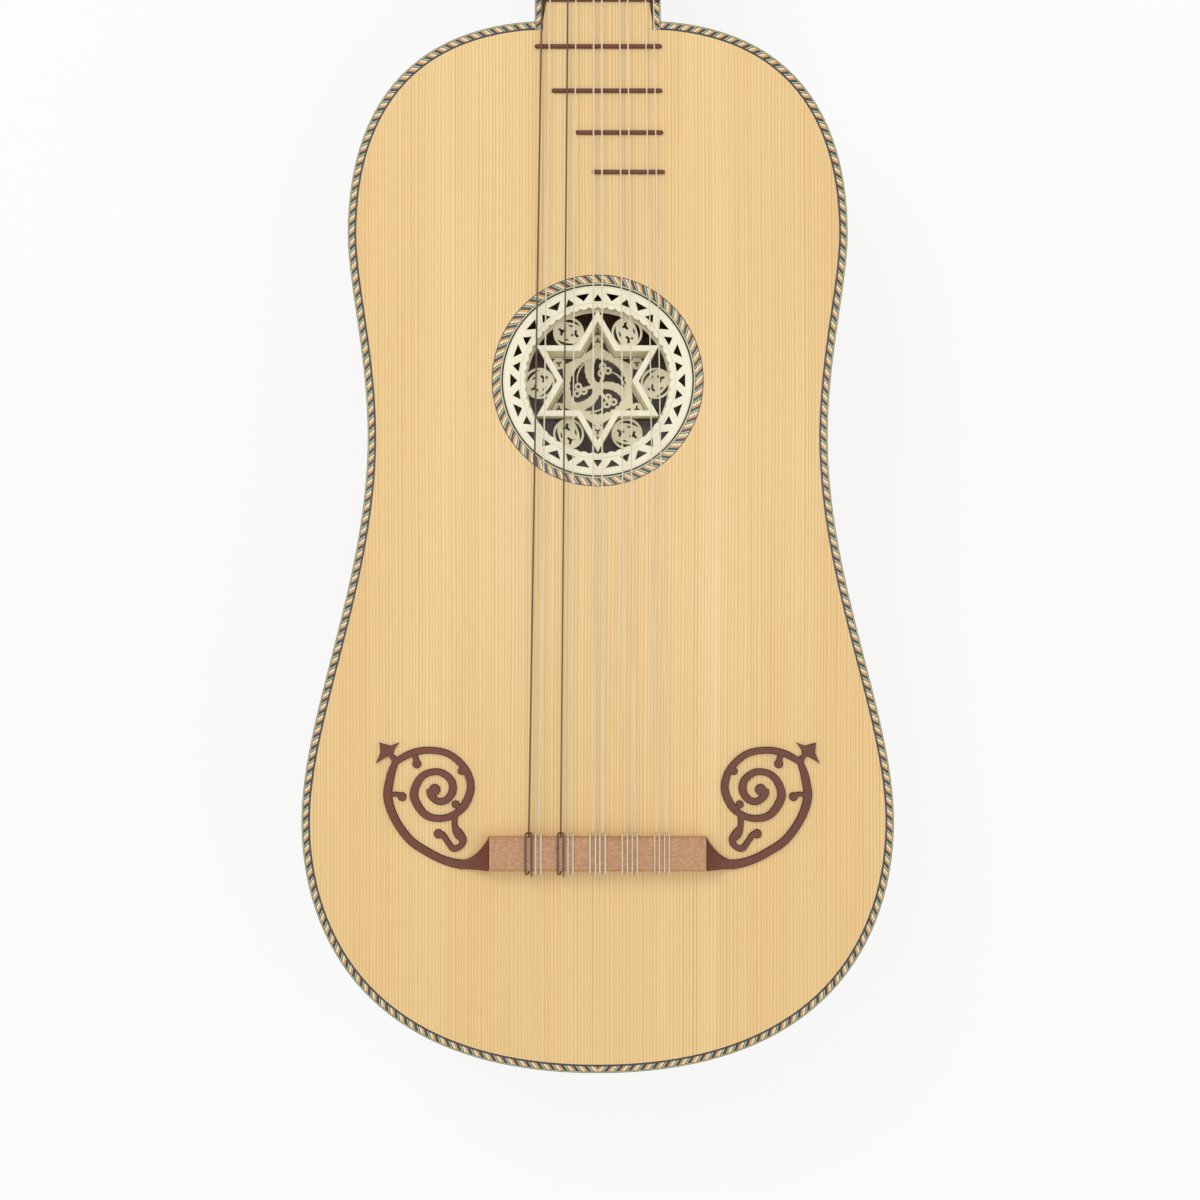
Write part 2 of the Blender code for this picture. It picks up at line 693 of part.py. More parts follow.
def scroll_outlines():
    """The treble moustache in millimetres, outwards from the bridge's end and up from its back.

    A band, a ring that winds into a spiral, a tail that curls off the ring, a leaf and buds."""
    band = stroke([(RAMP_LENGTH / MM - 1, 2.1), (17, 1.6), (28, 3.2), (39.2, 10), (45.5, 20.5),
                   (47.2, 30.5), (45.6, 38.5), (42.4, 44.5), (41.5, 49.5)],
                  [4.0, 3.8, 3.6, 3.5, 3.5, 3.4, 3.0, 2.8, 3.4])
    ring = stroke([(42.4, 44.9), (34.5, 49.8), (26.5, 50.6), (17, 46.5), (9.9, 38.5),
                   (8.0, 31.0), (10.5, 24.5), (15.0, 19.5), (22.5, 18.0), (29.5, 21.5),
                   (34.0, 30.0), (31.0, 37.5), (24.5, 40.3), (17.8, 38.0), (15.1, 32.5),
                   (16.5, 27.0), (21.5, 24.6), (26.0, 27.0), (27.0, 30.0)],
                  [3.2, 3.0, 2.7, 2.7, 2.9, 3.0, 3.2, 2.6, 2.7, 3.0, 3.4, 3.0, 2.6, 2.7, 3.0,
                   2.8, 3.0, 3.4, 3.6])
    tail = stroke([(16.3, 19.5), (15.0, 15.5), (14.2, 11.4), (12.3, 8.6), (15.5, 5.2),
                   (19.5, 6.2), (22.5, 11.0), (25.2, 12.6)],
                  [2.0, 2.2, 3.4, 3.4, 2.0, 2.0, 2.2, 3.6])
    leaf = [Vector(p) for p in ((40.1, 46.5), (44.0, 46.2), (51.2, 45.0), (50.4, 50.0),
                                (49.0, 54.5), (45.0, 53.4), (40.4, 54.0), (41.4, 51.2))]
    shapes = [band, ring, tail, leaf]
    buds = (((36.5, 47.4), (33.0, 43.8), 2.2), ((46.2, 27.6), (39.0, 29.7), 2.2),
            ((10.2, 39.2), (13.0, 40.2), 2.2), ((12.6, 23.0), (15.6, 25.2), 2.1))
    for (x0, y0), (x1, y1), size in buds:
        shapes.append(stroke([(x0, y0), (x1, y1)], [1.6, 1.6], 1))
        shapes.append(circle(size, 8, (x1, y1)))
    shapes.append(circle(3.1, 10, (25.2, 30.0)))
    return shapes


def ramp_mesh(name, side):
    """The hollow ramp from the soundboard up to the bridge's end."""
    foot = BRIDGE_FRONT - BRIDGE_DEEP
    start = BRIDGE_WIDTH / 2 + GAP
    rings = []
    for share in (0, 0.12, 0.3, 0.5, 0.75, 1.0):
        x = side * (start + share * RAMP_LENGTH)
        fall = (1 - share) ** 2.2
        high = SCROLL_THICK + (BRIDGE_HIGH - SCROLL_THICK) * fall
        deep = 4.0 * MM + (BRIDGE_DEEP - 4.0 * MM) * fall
        rings.append([(x, foot, GAP), (x, foot + deep, GAP), (x, foot + deep, GAP + high * 0.8),
                      (x, foot + deep * 0.8, GAP + high), (x, foot, GAP + high)])
    return loft_mesh(name, rings, 30)


def moustaches(parent, finish):
    foot = BRIDGE_FRONT - BRIDGE_DEEP
    start = BRIDGE_WIDTH / 2 + GAP
    for side, name in ((-1, "moustache_bass"), (1, "moustache_treble")):
        made = place(name, ramp_mesh(name, side), finish, parent)
        for i, outline in enumerate(scroll_outlines()):
            loop = [Vector((side * (start + p.x * MM), foot + p.y * MM)) for p in outline]
            mesh = plate_mesh(f"{name}_{i}", [loop], GAP + SCROLL_THICK, SCROLL_THICK)
            piece = helper(f"join_{name}_{i:02d}", mesh, parent, finish)
            boolean(made, piece, "UNION")


# Rose

def toothed(radius, teeth, depth, centre=ROSE_CENTRE):
    """A round edge with pointed teeth that reach inwards."""
    loop = []
    for i in range(teeth):
        for part, r in ((0.0, radius - depth), (0.5, radius)):
            angle = 2 * math.pi * (i + part) / teeth
            loop.append(Vector((centre[0] + r * math.cos(angle), centre[1] + r * math.sin(angle))))
    return loop


def at_angle(degrees, radius, centre=ROSE_CENTRE):
    angle = math.radians(degrees)
    return Vector(centre) + radius * Vector((math.cos(angle), math.sin(angle)))


def rim_triangles():
    """Two rows of eighteen triangles, points towards each other."""
    holes = []
    outer_base, outer_tip = RIM_LACE_OUTER, RIM_LACE_INNER + 0.4 * MM
    inner_base, inner_tip = RIM_LACE_INNER, RIM_LACE_OUTER - 0.5 * MM
    for k in range(18):
        for centre, base, tip, half in ((20 * k, outer_base, outer_tip, 4.8),
                                        (20 * k + 10, inner_base, inner_tip, 3.4)):
            holes.append([at_angle(centre - half, base), at_angle(centre + half, base),
                          at_angle(centre, tip)])
    return holes


def rose_rim(parent, finish):
    outline = circle(ROSE_RADIUS - GAP, 36, ROSE_CENTRE)
    inner = toothed(RECESS_RADIUS, RIM_TEETH, TOOTH)
    mesh = plate_mesh("rose_rim", [outline, inner] + rim_triangles(), 0, PARCHMENT)
    made = place("rose_rim", mesh, finish, parent)
    bite = 0.3 * MM
    rings = [circle(RECESS_RADIUS + 1.0 * MM + RECESS_WALL, 36, ROSE_CENTRE),
             circle(RECESS_RADIUS + 1.0 * MM, 36, ROSE_CENTRE)]
    wall = plate_mesh("join_recess_wall", rings, -PARCHMENT + bite,
                      GALLERY_DROP - PARCHMENT + bite - GAP)
    boolean(made, helper("join_recess_wall", wall, parent, finish), "UNION")


def star(outer):
    """The twelve corners of a six-pointed star."""
    inner = outer / math.sqrt(3)
    return [at_angle(30 * i, outer if i % 2 else inner) for i in range(12)]


def rose_star(parent, finish):
    """A tall wall that follows the six-pointed star."""
    shrink = STAR_BEAM / math.sin(math.radians(30))
    mesh = plate_mesh("rose_star", [star(STAR_RADIUS), star(STAR_RADIUS - shrink)],
                      -GAP, FLOOR_DROP + PARCHMENT, 10)
    place("rose_star", mesh, finish, parent)


def clover(centre, turn, size):
    """A three-armed hole."""
    loop = []
    for k in range(3):
        for offset, share in ((-60, 0.32), (-16, 1.0), (16, 1.0)):
            loop.append(at_angle(turn + 120 * k + offset, size * share, centre))
    return loop


def crescent(centre, middle, radius, sweep, thick):
    """A curved slit that thins out to both ends."""
    steps = (-1, -0.5, 0, 0.5, 1)
    outer = [at_angle(middle + sweep * s, radius, centre) for s in steps]
    inner = [at_angle(middle + sweep * s, radius - thick * (1.15 - s * s), centre)
             for s in reversed(steps[1:-1])]
    return outer + inner


def gallery_disc(middle):
    """One pierced disc: two three-armed holes and two curved slits, with its bite into the ring."""
    centre = at_angle(middle, GALLERY_DISC_AT)
    loops = [circle(GALLERY_DISC, 14, centre)]
    for turn in (0, 180):
        eye = at_angle(middle + 50 + turn, 3.1 * MM, centre)
        loops.append(clover(eye, middle + 20 + turn, 1.9 * MM))
        loops.append(crescent(centre, middle - 45 + turn, 5.9 * MM, 34, 0.8 * MM))
    return plate_mesh(f"gallery_disc_{middle}", loops, -GALLERY_DROP, PARCHMENT)


def rose_gallery(parent, finish):
    """Six pierced discs between the star's points, held by a ring round the recess."""
    loops = [circle(RECESS_RADIUS + 1.0 * MM + RECESS_WALL, 36, ROSE_CENTRE),
             circle(STAR_RADIUS + GAP, 36, ROSE_CENTRE)]
    mesh = plate_mesh("rose_gallery", loops, -GALLERY_DROP, PARCHMENT)
    made = place("rose_gallery", mesh, finish, parent)
    for k in range(6):
        piece = helper(f"join_disc_{k}", gallery_disc(60 * k), parent, finish)
        boolean(made, piece, "UNION")
    shape = plate_mesh("cut_star", [star(STAR_RADIUS + 2 * GAP)], -GALLERY_DROP + 1 * MM,
                       PARCHMENT + 2 * MM, 10)
    boolean(made, helper("cut_star", shape, parent, finish), "DIFFERENCE")


def rose_floor(parent, finish):
    """Plate at the foot of the star: six small pierced discs and a toothed round opening."""
    shrink = (STAR_BEAM + GAP) / math.sin(math.radians(30))
    holes = [toothed(WELL_RADIUS, WELL_TEETH, 0.7 * MM)]
    for k in range(6):
        middle = 30 + 60 * k
        centre = at_angle(middle, FLOOR_DISC_AT)
        holes.append(clover(centre, middle, 1.4 * MM))
        disc = FLOOR_DISC
        holes.append([at_angle(middle, 25.0 * MM), at_angle(middle - 28, disc, centre),
                      at_angle(middle, disc + 0.1 * MM, centre),
                      at_angle(middle + 28, disc, centre)])
        for side in (-1, 1):
            holes.append([at_angle(middle + side * 160, disc, centre),
                          at_angle(middle + side * 125, disc, centre),
                          at_angle(middle + side * 90, disc, centre),
                          at_angle(middle + side * 22, 15.6 * MM)])
    mesh = plate_mesh("rose_floor", [star(STAR_RADIUS - shrink)] + holes, -FLOOR_DROP, PARCHMENT)
    place("rose_floor", mesh, finish, parent)


def rose_medallion(parent, finish):
    """A disc with three curved arms, each with a group of three eyelets."""
    holes = []
    swirl = 70
    for k in range(3):
        start = 75 + 120 * k
        for begin, end, near, far in ((32, 56, 0.30, 0.80), (62, 84, 0.34, 0.80)):
            loop = []
            for share in (0.0, 0.25, 0.5, 0.75, 1.0):
                r = (near + (far - near) * share) * MEDALLION_RADIUS
                loop.append(at_angle(start + begin - swirl * (share - 0.5), r))
            for share in (1.0, 0.75, 0.5, 0.25):
                r = (near + (far - near) * share) * MEDALLION_RADIUS
                loop.append(at_angle(start + end - swirl * (share - 0.5), r))
            holes.append(loop)
        middle = at_angle(start + 3, 7.6 * MM)
        for turn in (0, 120, 240):
            holes.append(circle(0.9 * MM, 6, at_angle(start + turn, 1.9 * MM, middle)))
    rim = circle(MEDALLION_RADIUS, 36, ROSE_CENTRE)
    mesh = plate_mesh("rose_medallion", [rim] + holes, -MEDALLION_DROP, PARCHMENT)
    made = place("rose_medallion", mesh, finish, parent)
    bite = 0.3 * MM
    wall = MEDALLION_RADIUS - WELL_RADIUS - 0.3 * MM
    rings = [circle(MEDALLION_RADIUS, 36, ROSE_CENTRE),
             circle(MEDALLION_RADIUS - wall, 36, ROSE_CENTRE)]
    top = -FLOOR_DROP - PARCHMENT - GAP
    mesh = plate_mesh("join_well_wall", rings, top, top + MEDALLION_DROP + bite)
    boolean(made, helper("join_well_wall", mesh, parent, finish), "UNION")


# Strings

def tie(x, radius):
    """The knot at the bridge: over the block twice, round the string's own front, out at the hole."""
    beside = 2 * radius + COIL_GAP
    over = GAP + BRIDGE_HIGH + GAP + radius
    behind = BRIDGE_FRONT - BRIDGE_DEEP
    front = BRIDGE_FRONT
    hole = STRING_HIGH_BRIDGE
    return [
        (x + beside, behind - 2.6 * MM, 5.2 * MM), (x + beside, behind - 1.5 * MM, 7.6 * MM),
        (x + beside, behind - 0.2 * MM, over), (x + beside, behind + 2 * MM, over),
        (x + beside, front - 2 * MM, over), (x + beside, front + 0.2 * MM, over),
        (x + beside, front + 1.3 * MM, 7.2 * MM), (x + beside, front + 1.6 * MM, 4.6 * MM),
        (x, front + 1.7 * MM, hole - beside * 1.1),
        (x - beside, front + 1.6 * MM, 4.6 * MM), (x - beside, front + 1.3 * MM, 7.2 * MM),
        (x - beside, front + 0.2 * MM, over), (x - beside, front - 2 * MM, over),
        (x - beside, behind + 2 * MM, over), (x - beside, behind - 0.2 * MM, over),
        (x - beside, behind - 1.4 * MM, 7.0 * MM), (x - 0.4 * beside, behind - 1.7 * MM, 5.0 * MM),
        (x, behind - 1.0 * MM, hole),
    ]


def winding(seat, radius):
    """Turns round a peg, climbing away from the head's face, in the guitar's frame."""
    x, y = seat
    side = math.copysign(1, x)
    pitch = 2 * radius + COIL_GAP
    points = []
    for step in range(int(WIND_TURNS * WIND_POINTS) + 1):
        turn = step / WIND_POINTS
        high = WIND_HEIGHT + turn * pitch
        out = peg_radius(high) + GAP + radius + 0.12 * MM
        angle = (math.pi if side > 0 else 0) - side * turn * 2 * math.pi
        points.append(on_head(x + out * math.cos(angle), y + out * math.sin(angle), high))
    return points


def least_gap(points, radius):
    """The least distance between parts of a tube that lie apart along it, less its thickness."""
    dense = []
    for a, b in zip(points, points[1:]):
        count = max(1, int((b - a).length / (0.4 * MM)))
        if count > 60:
            count = 1
        dense += [a + (b - a) * i / count for i in range(count)]
    travelled = [0.0]
    for a, b in zip(dense, dense[1:]):
        travelled.append(travelled[-1] + (b - a).length)
    least = 1.0
    apart = 6 * radius + 2 * MM
    for i, a in enumerate(dense):
        for j in range(i + 1, len(dense)):
            if travelled[j] - travelled[i] > apart:
                least = min(least, (a - dense[j]).length)
    return least - 2 * radius


def strings(parent, plain, wound):
    for i, ((x, x_nut, radius), seat) in enumerate(zip(string_seats(), peg_seats())):
        path = [Vector(p) for p in tie(x, radius)]
        path.append(Vector((x, BRIDGE_FRONT - BRIDGE_DEEP + 1 * MM, STRING_HIGH_BRIDGE)))
        path.append(Vector((x, BRIDGE_FRONT, STRING_HIGH_BRIDGE)))
        path.append(Vector((x_nut, NUT_AT, STRING_HIGH_NUT)))
        path.append(Vector((x_nut, NUT_AT + NUT_THICK + 0.5 * MM, STRING_HIGH_NUT - 0.1 * MM)))
        path += winding(seat, radius)
        finish = wound if i in (0, 2) else plain
        tube(f"string_{i + 1:02d}", path, radius, finish, parent)
        print(f"string_{i + 1:02d} least gap to itself {least_gap(path, radius) / MM:.2f} mm")


def build():
    clear_scene()
    spruce = material("spruce", (0.80, 0.58, 0.30), 0.55)
    maple = material("rib_wood", (0.45, 0.24, 0.10), 0.35)
    neck_wood = material("neck_wood", (0.28, 0.13, 0.06), 0.4)
    dark_wood = material("scroll_wood", (0.22, 0.08, 0.05), 0.5)
    bridge_wood = material("bridge_wood", (0.50, 0.30, 0.22), 0.5)
    rope = material("rope_inlay", (0.35, 0.28, 0.16), 0.45)
    parchment = material("parchment", (0.86, 0.80, 0.64), 0.7)
    bone = material("bone", (0.85, 0.80, 0.68), 0.35)
    gut = material("gut", (0.80, 0.72, 0.52), 0.4)
    wound = material("wound_string", (0.25, 0.18, 0.14), 0.4)
    guitar = bpy.data.objects.new("guitar", None)
    bpy.context.collection.objects.link(guitar)
    guitar.location = (0, -BODY_LENGTH / 2, BODY_DEPTH)
    soundboard(guitar, spruce)
    edge_rope(guitar, rope)
    rose_rope(guitar, rope)
    neck_ropes(guitar, rope)
    ribs(guitar, maple)
    back(guitar, maple)
    blocks(guitar, spruce)
    bars(guitar, spruce)
    neck(guitar, neck_wood)
    fingerboard(guitar, dark_wood)
    nut(guitar, bone)
    frame = head_frame(guitar)
    head(frame, neck_wood)
    pegs(frame, dark_wood)
    wooden_frets(guitar, dark_wood)
    tied_frets(guitar, gut)
    bridge(guitar, bridge_wood)
    moustaches(guitar, dark_wood)
    rose_rim(guitar, parchment)
    rose_star(guitar, parchment)
    rose_gallery(guitar, parchment)
    rose_floor(guitar, parchment)
    rose_medallion(guitar, parchment)
    strings(guitar, gut, wound)
    bpy.context.view_layer.update()


build()
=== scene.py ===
# Looks of the five-course baroque guitar: finishes, smooth body shell, rope marquetry, parchment
# rose, bridge scrolls, light and camera.
# Metres. The guitar lies on its back with the soundboard up and the head towards +Y.
import json
import math

import bmesh
import bpy
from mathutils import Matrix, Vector
from mathutils.geometry import interpolate_bezier


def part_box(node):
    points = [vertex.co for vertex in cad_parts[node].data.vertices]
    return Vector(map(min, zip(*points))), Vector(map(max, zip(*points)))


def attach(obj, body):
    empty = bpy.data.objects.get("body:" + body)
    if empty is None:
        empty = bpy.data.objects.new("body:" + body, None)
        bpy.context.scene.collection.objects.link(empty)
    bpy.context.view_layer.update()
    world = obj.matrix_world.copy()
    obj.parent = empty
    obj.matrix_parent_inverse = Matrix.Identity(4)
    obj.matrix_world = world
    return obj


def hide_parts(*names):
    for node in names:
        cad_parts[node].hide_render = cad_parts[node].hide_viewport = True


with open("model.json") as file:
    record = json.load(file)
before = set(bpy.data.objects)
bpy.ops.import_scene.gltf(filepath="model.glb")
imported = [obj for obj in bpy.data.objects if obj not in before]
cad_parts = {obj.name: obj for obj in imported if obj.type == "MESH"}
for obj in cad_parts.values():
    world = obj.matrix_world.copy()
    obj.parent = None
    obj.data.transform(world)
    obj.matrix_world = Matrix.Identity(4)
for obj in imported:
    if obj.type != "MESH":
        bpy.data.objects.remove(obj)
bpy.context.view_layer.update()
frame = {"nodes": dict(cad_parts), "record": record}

MM = 0.001

# Body and neck, with places along them counted from the tail
BODY_LENGTH = 462.4 * MM
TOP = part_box("soundboard")[1][2]
TAIL = -BODY_LENGTH / 2
NECK_WIDE = 55.4 * MM
NUT_WIDE = 47.0 * MM
NUT_AT = 759.3 * MM
GAP = 0.3 * MM
HAIRLINE = 0.3 * GAP
TOP_THICK = 2.4 * MM
RIB_THICK = 2.0 * MM
BACK_THICK = 2.5 * MM
OUTLINE_STEPS = 40

# How far the ribs reach up beside the top, and the place of the veneer at the end of the body
RIB_LAP = 0.2 * MM
VENEER_IN = 0.2 * MM
VENEER_NEAR = 0.02 * MM
VENEER_FAR = 0.25 * MM

# Half width and distance from the tail where the outline turns, in millimetres
LOWER_BOUT = (130.2, 110.6)
WAIST = (101.1, 279.6)
UPPER_BOUT = (109.85, 369.0)
NECK_CORNER = (27.7, 462.4)

# Tongue of the top on the neck
TONGUE_LENGTH = 40 * MM
TONGUE_SHOULDER = 14 * MM
TONGUE_STEP = 2.2 * MM

# Rope marquetry
ROPE_WIDTH = 3.6 * MM
ROPE_DEPTH = 1.2 * MM
ROPE_CLEAR = 0.4 * MM
STRIPE = 5.3 * MM
NECK_ROPE_START = 0.4 * STRIPE

# Rose. A wall hangs from its rim, and a cup under its floor holds the medallion.
ROSE_AT = 304.5 * MM
ROSE_CENTRE = Vector((0, ROSE_AT))
ROSE_RADIUS = 41.9 * MM
ROSE_ROPE_OUTER = 46.5 * MM
PARCHMENT = 1.0 * MM
# Depth over which the parchment is painted lighter: painted light that makes up for the shade deep in
# the rose.
PAINTED_LIGHT_DEPTH = 30 * MM
INNER_SCRIBE = (33.9 * MM, 34.15 * MM)
OUTER_SCRIBE = (41.0 * MM, 41.2 * MM)
RECESS_RADIUS = 32.6 * MM
RECESS_HIGH = 10.3 * MM
RECESS_WALL = (34.8 * MM, 33.6 * MM)
TRIANGLES = 18
RIM_TEETH = 52
DISCS = 6
DISC_AT = 26.0 * MM
DISC_RADIUS = 6.9 * MM
GALLERY_RING = (34.8 * MM, 31.4 * MM)
MEDALLION_DROP = 27 * MM
MEDALLION_RADIUS = 14.6 * MM
CUP_DROP = 22 * MM
CUP_HIGH = 5 * MM
CUP_WALL = 0.9 * MM
ARMS = 3

# Bridge scrolls
BRIDGE_END = 47.6 * MM
BRIDGE_BACK = 89.8 * MM
RAMP_LENGTH = 13 * MM
SCORCH_LOW = 0.01 * MM
SCORCH_HIGH = 0.9 * MM

# Finishes, light and camera
YEAR_RING = 1.46 * MM
CHAR = (0.025, 0.010, 0.008)
FLOOR_SIZE = 12
FLOOR_GLOW = 0.82
ROOM_LIGHT = 0.6
CAMERA_SIDE = 1 * MM
CAMERA_AT = 208 * MM
CAMERA_HIGH = 0.85


class Value:
    """A shader socket that can be used in sums."""

    def __init__(self, finish, socket):
        self.finish = finish
        self.socket = socket

    def maths(self, operation, *others):
        """One Math node on this value and the others."""
        made = self.finish.node("ShaderNodeMath", {"operation": operation}, [self, *others])
        return Value(self.finish, made.outputs[0])

    def __add__(self, other):
        return self.maths("ADD", other)

    def __radd__(self, other):
        return self.maths("ADD", other)

    def __sub__(self, other):
        return self.maths("SUBTRACT", other)

    def __rsub__(self, other):
        return (self * -1) + other

    def __mul__(self, other):
        return self.maths("MULTIPLY", other)

    def __rmul__(self, other):
        return self.maths("MULTIPLY", other)

    def __truediv__(self, other):
        return self.maths("DIVIDE", other)

    def __pow__(self, other):
        return self.maths("POWER", other)

    def between(self, low, high):
        """One inside the range and nothing outside it."""
        return self.maths("GREATER_THAN", low) * self.maths("LESS_THAN", high)


class Finish:
    """A material of nodes round one Principled shader."""

    def __init__(self, name, roughness, coat=0.0):
        self.made = bpy.data.materials.new(name)
        self.made.use_nodes = True
        self.tree = self.made.node_tree
        self.shader = self.tree.nodes["Principled BSDF"]
        self.shader.inputs["Roughness"].default_value = roughness
        self.shader.inputs["Coat Weight"].default_value = coat
        self.shader.inputs["Coat Roughness"].default_value = 0.2
        self.shader.inputs["Specular IOR Level"].default_value = 0.35

    def put(self, socket, value):
        """Links a value to a socket, or sets the socket to a number or colour."""
        if isinstance(value, Value):
            self.tree.links.new(value.socket, socket)
        elif isinstance(value, tuple) and len(value) == 3 and socket.type == "RGBA":
            socket.default_value = (*value, 1)
        else:
            socket.default_value = value

    def node(self, kind, settings=None, values=()):
        """A node of that kind, its settings made first and its sockets filled after."""
        made = self.tree.nodes.new(kind)
        for key, value in (settings or {}).items():
            setattr(made, key, value)
        pairs = values.items() if isinstance(values, dict) else enumerate(values)
        for key, value in pairs:
            self.put(made.inputs[key], value)
        return made

    def place(self, source="Object"):
        """The X, Y and Z of the surface point, or the U and V of a band."""
        coordinates = self.node("ShaderNodeTexCoord").outputs[source]
        split = self.node("ShaderNodeSeparateXYZ", values=[Value(self, coordinates)])
        return [Value(self, out) for out in split.outputs]

    def vector(self, x, y, z):
        return Value(self, self.node("ShaderNodeCombineXYZ", values=[x, y, z]).outputs[0])

    def noise(self, where, scale, detail=3.0, rough=0.5):
        made = self.node("ShaderNodeTexNoise", values={
            "Vector": where, "Scale": scale, "Detail": detail, "Roughness": rough})
        return Value(self, made.outputs["Fac"])

    def mix(self, share, low, high):
        """The low colour where the share is nothing, the high one where it is one."""
        made = self.node("ShaderNodeMix", {"data_type": "RGBA"})
        self.put(made.inputs[0], share)
        self.put(made.inputs[6], low)
        self.put(made.inputs[7], high)
        return Value(self, made.outputs[2])

    def colour(self, value):
        self.put(self.shader.inputs["Base Color"], value)

    def rough(self, value):
        self.put(self.shader.inputs["Roughness"], value)

    def bump(self, height, strength, distance):
        made = self.node("ShaderNodeBump", values={
            "Strength": strength, "Distance": distance, "Height": height})
        self.put(self.shader.inputs["Normal"], Value(self, made.outputs[0]))


# Finishes

def spruce():
    """Pale top wood: fine straight year rings that waver slightly, with cross fleck painted lighter
    as a silky sheen.
    """
    pale, warm, edge_tone = (0.88, 0.65, 0.32), (0.77, 0.51, 0.20), (0.76, 0.49, 0.19)
    # The second colour is a painted sheen: lighter than the wood, it stands for the silky glint of
    # the cross fleck.
    late_wood, painted_sheen = (0.64, 0.35, 0.11), (0.95, 0.76, 0.45)
    f = Finish("spruce", 0.5, 0.12)
    x, y = f.place()[:2]
    sway = f.noise(f.vector(x * 6, y * 2.2, 0.0), 1.0, 2.0) * 0.004
    across = x + sway
    uneven = f.noise(f.vector(across * 260, y, 0.0), 1.0, 2.0, 0.6)
    year = ((across / YEAR_RING + uneven * 1.6) * (2 * math.pi)).maths("SINE") * 0.5 + 0.5
    ring_line = year ** 2.6
    strength = f.noise(f.vector(across * 120, y * 3, 5.0), 1.0, 2.0)
    broad = f.noise(f.vector(across * 34, y * 1.5, 3.0), 1.0, 3.0)
    # Where the cross fleck lies; there the colour is painted lighter as a sheen, which is painted
    # light on top of the real fleck.
    fleck_and_sheen = f.noise(f.vector(across * 150, y * 160, 7.0), 1.0, 2.0)
    honey = (x.maths("ABSOLUTE") - 0.06).maths("MAXIMUM", 0.0) * 5
    base = f.mix(broad.maths("MULTIPLY_ADD", 1.6, -0.3), pale, warm)
    base = f.mix(honey, base, edge_tone)
    lined = f.mix(ring_line * (strength * 1.1 + 0.1), base, late_wood)
    f.colour(f.mix(fleck_and_sheen * 0.16, lined, painted_sheen))
    f.rough(0.42 + year * 0.12)
    f.bump(year, 0.2, 0.00015)
    return f.made


def lighter(colour, times):
    """A colour made that many times as bright, up to white."""
    return tuple(min(1.0, c * times) for c in colour)


def figured_wood(name, dark, light, roughness, coat, grain=(260, 12), flame=0.0, fleck=0.0,
                 scorch=0.0):
    """A hardwood with pores along Y, and with flame, fleck or a scorched foot where it has them."""
    f = Finish(name, roughness, coat)
    x, y, z = f.place()
    pores = f.noise(f.vector(x * grain[0], y * grain[1], z * grain[0]), 1.0, 4.0, 0.65)
    cloud = f.noise(f.vector(x * 25, y * 8, z * 25), 1.0, 3.0)
    shade = pores * 0.6 + cloud * 0.4
    tone = f.mix(shade, dark, light)
    if flame:
        wave = f.noise(f.vector(x * 12, y * 150 + x * 30, z * 9), 1.0, 2.0)
        tone = f.mix(wave.maths("MULTIPLY_ADD", 2.2, -0.75) * flame, tone, lighter(light, 1.9))
    if fleck:
        spots = f.noise(f.vector(x * 500 + y * 500, y * 1700 - x * 500, z * 420), 1.0, 1.0)
        tone = f.mix(spots.maths("MULTIPLY_ADD", 4.0, -1.9) * fleck, tone, lighter(light, 1.35))
    if scorch:
        foot = z.between(TOP + SCORCH_LOW, TOP + SCORCH_HIGH)
        tone = f.mix(foot * scorch, tone, CHAR)
    f.colour(tone)
    f.rough(roughness - 0.1 + pores * 0.2)
    f.bump(pores, 0.2, 0.0002)
    return f.made


# What isn't black in a stripe, and the thin lines across the rope's width, as shares of each
STRIPES = ((0.31, 0.55, "orange"), (0.55, 0.78, "cream"), (0.89, 0.99, "lime"))
EDGE_LINES = ((-0.1, 0.21, "black"), (0.79, 0.85, "black"), (0.85, 0.925, "lime"),
              (0.925, 1.1, "black"))
ROSE_LINES = ((-0.1, 0.09, "black"), (0.09, 0.19, "lime"), (0.19, 0.24, "black"),
              (0.93, 1.1, "black"))


def rope_wood(name, slant, lines):
    """Slanted marquetry between thin lines. U runs along the band in metres, V across it."""
    f = Finish(name, 0.4, 0.15)
    u, v = f.place("UV")[:2]
    phase = (u / STRIPE + v * slant).maths("FRACT")
    grain = f.noise(f.vector(u * 900, v * 9, 0.0), 1.0, 2.0)
    woods = {
        "black": f.mix(grain, (0.020, 0.028, 0.042), (0.050, 0.062, 0.080)),
        "lime": f.mix(grain, (0.56, 0.52, 0.20), (0.70, 0.66, 0.30)),
        "cream": f.mix(grain, (0.72, 0.60, 0.36), (0.86, 0.77, 0.54)),
        "orange": f.mix(grain, (0.58, 0.27, 0.07), (0.72, 0.37, 0.12)),
    }
    tone = woods["black"]
    for low, high, wood in STRIPES:
        tone = f.mix(phase.between(low, high), tone, woods[wood])
    for low, high, wood in lines:
        tone = f.mix(v.between(low, high), tone, woods[wood])
    f.colour(tone)
    f.bump(grain, 0.1, 0.0001)
    return f.made


def parchment():
    """Matt cream skin with a mottled tone, painted lighter deep down in the rose against the shade
    there, and scribed rings.
    """
    f = Finish("parchment", 0.72)
    x, y, z = f.place()
    mottle = f.noise(f.vector(x, y, z), 420, 4.0)
    fibre = f.noise(f.vector(x, y, z), 2600, 2.0)
    out = (x ** 2 + (y - (TAIL + ROSE_AT)) ** 2) ** 0.5
    scribed = out.between(*INNER_SCRIBE) + out.between(*OUTER_SCRIBE)
    # Painted light: the deeper the parchment lies below the top, the lighter its colour, standing in
    # for light that reaches down into the rose.
    depth = ((TOP - z) / PAINTED_LIGHT_DEPTH).maths("MINIMUM", 1.0)
    base = f.mix(mottle, (0.84, 0.77, 0.56), (0.94, 0.90, 0.72))
    deep = f.mix(depth * 0.6, base, (1.0, 0.93, 0.72))
    f.colour(f.mix(scribed * 0.5, deep, (0.50, 0.38, 0.20)))
    f.bump(fibre, 0.25, 0.0002)
    return f.made


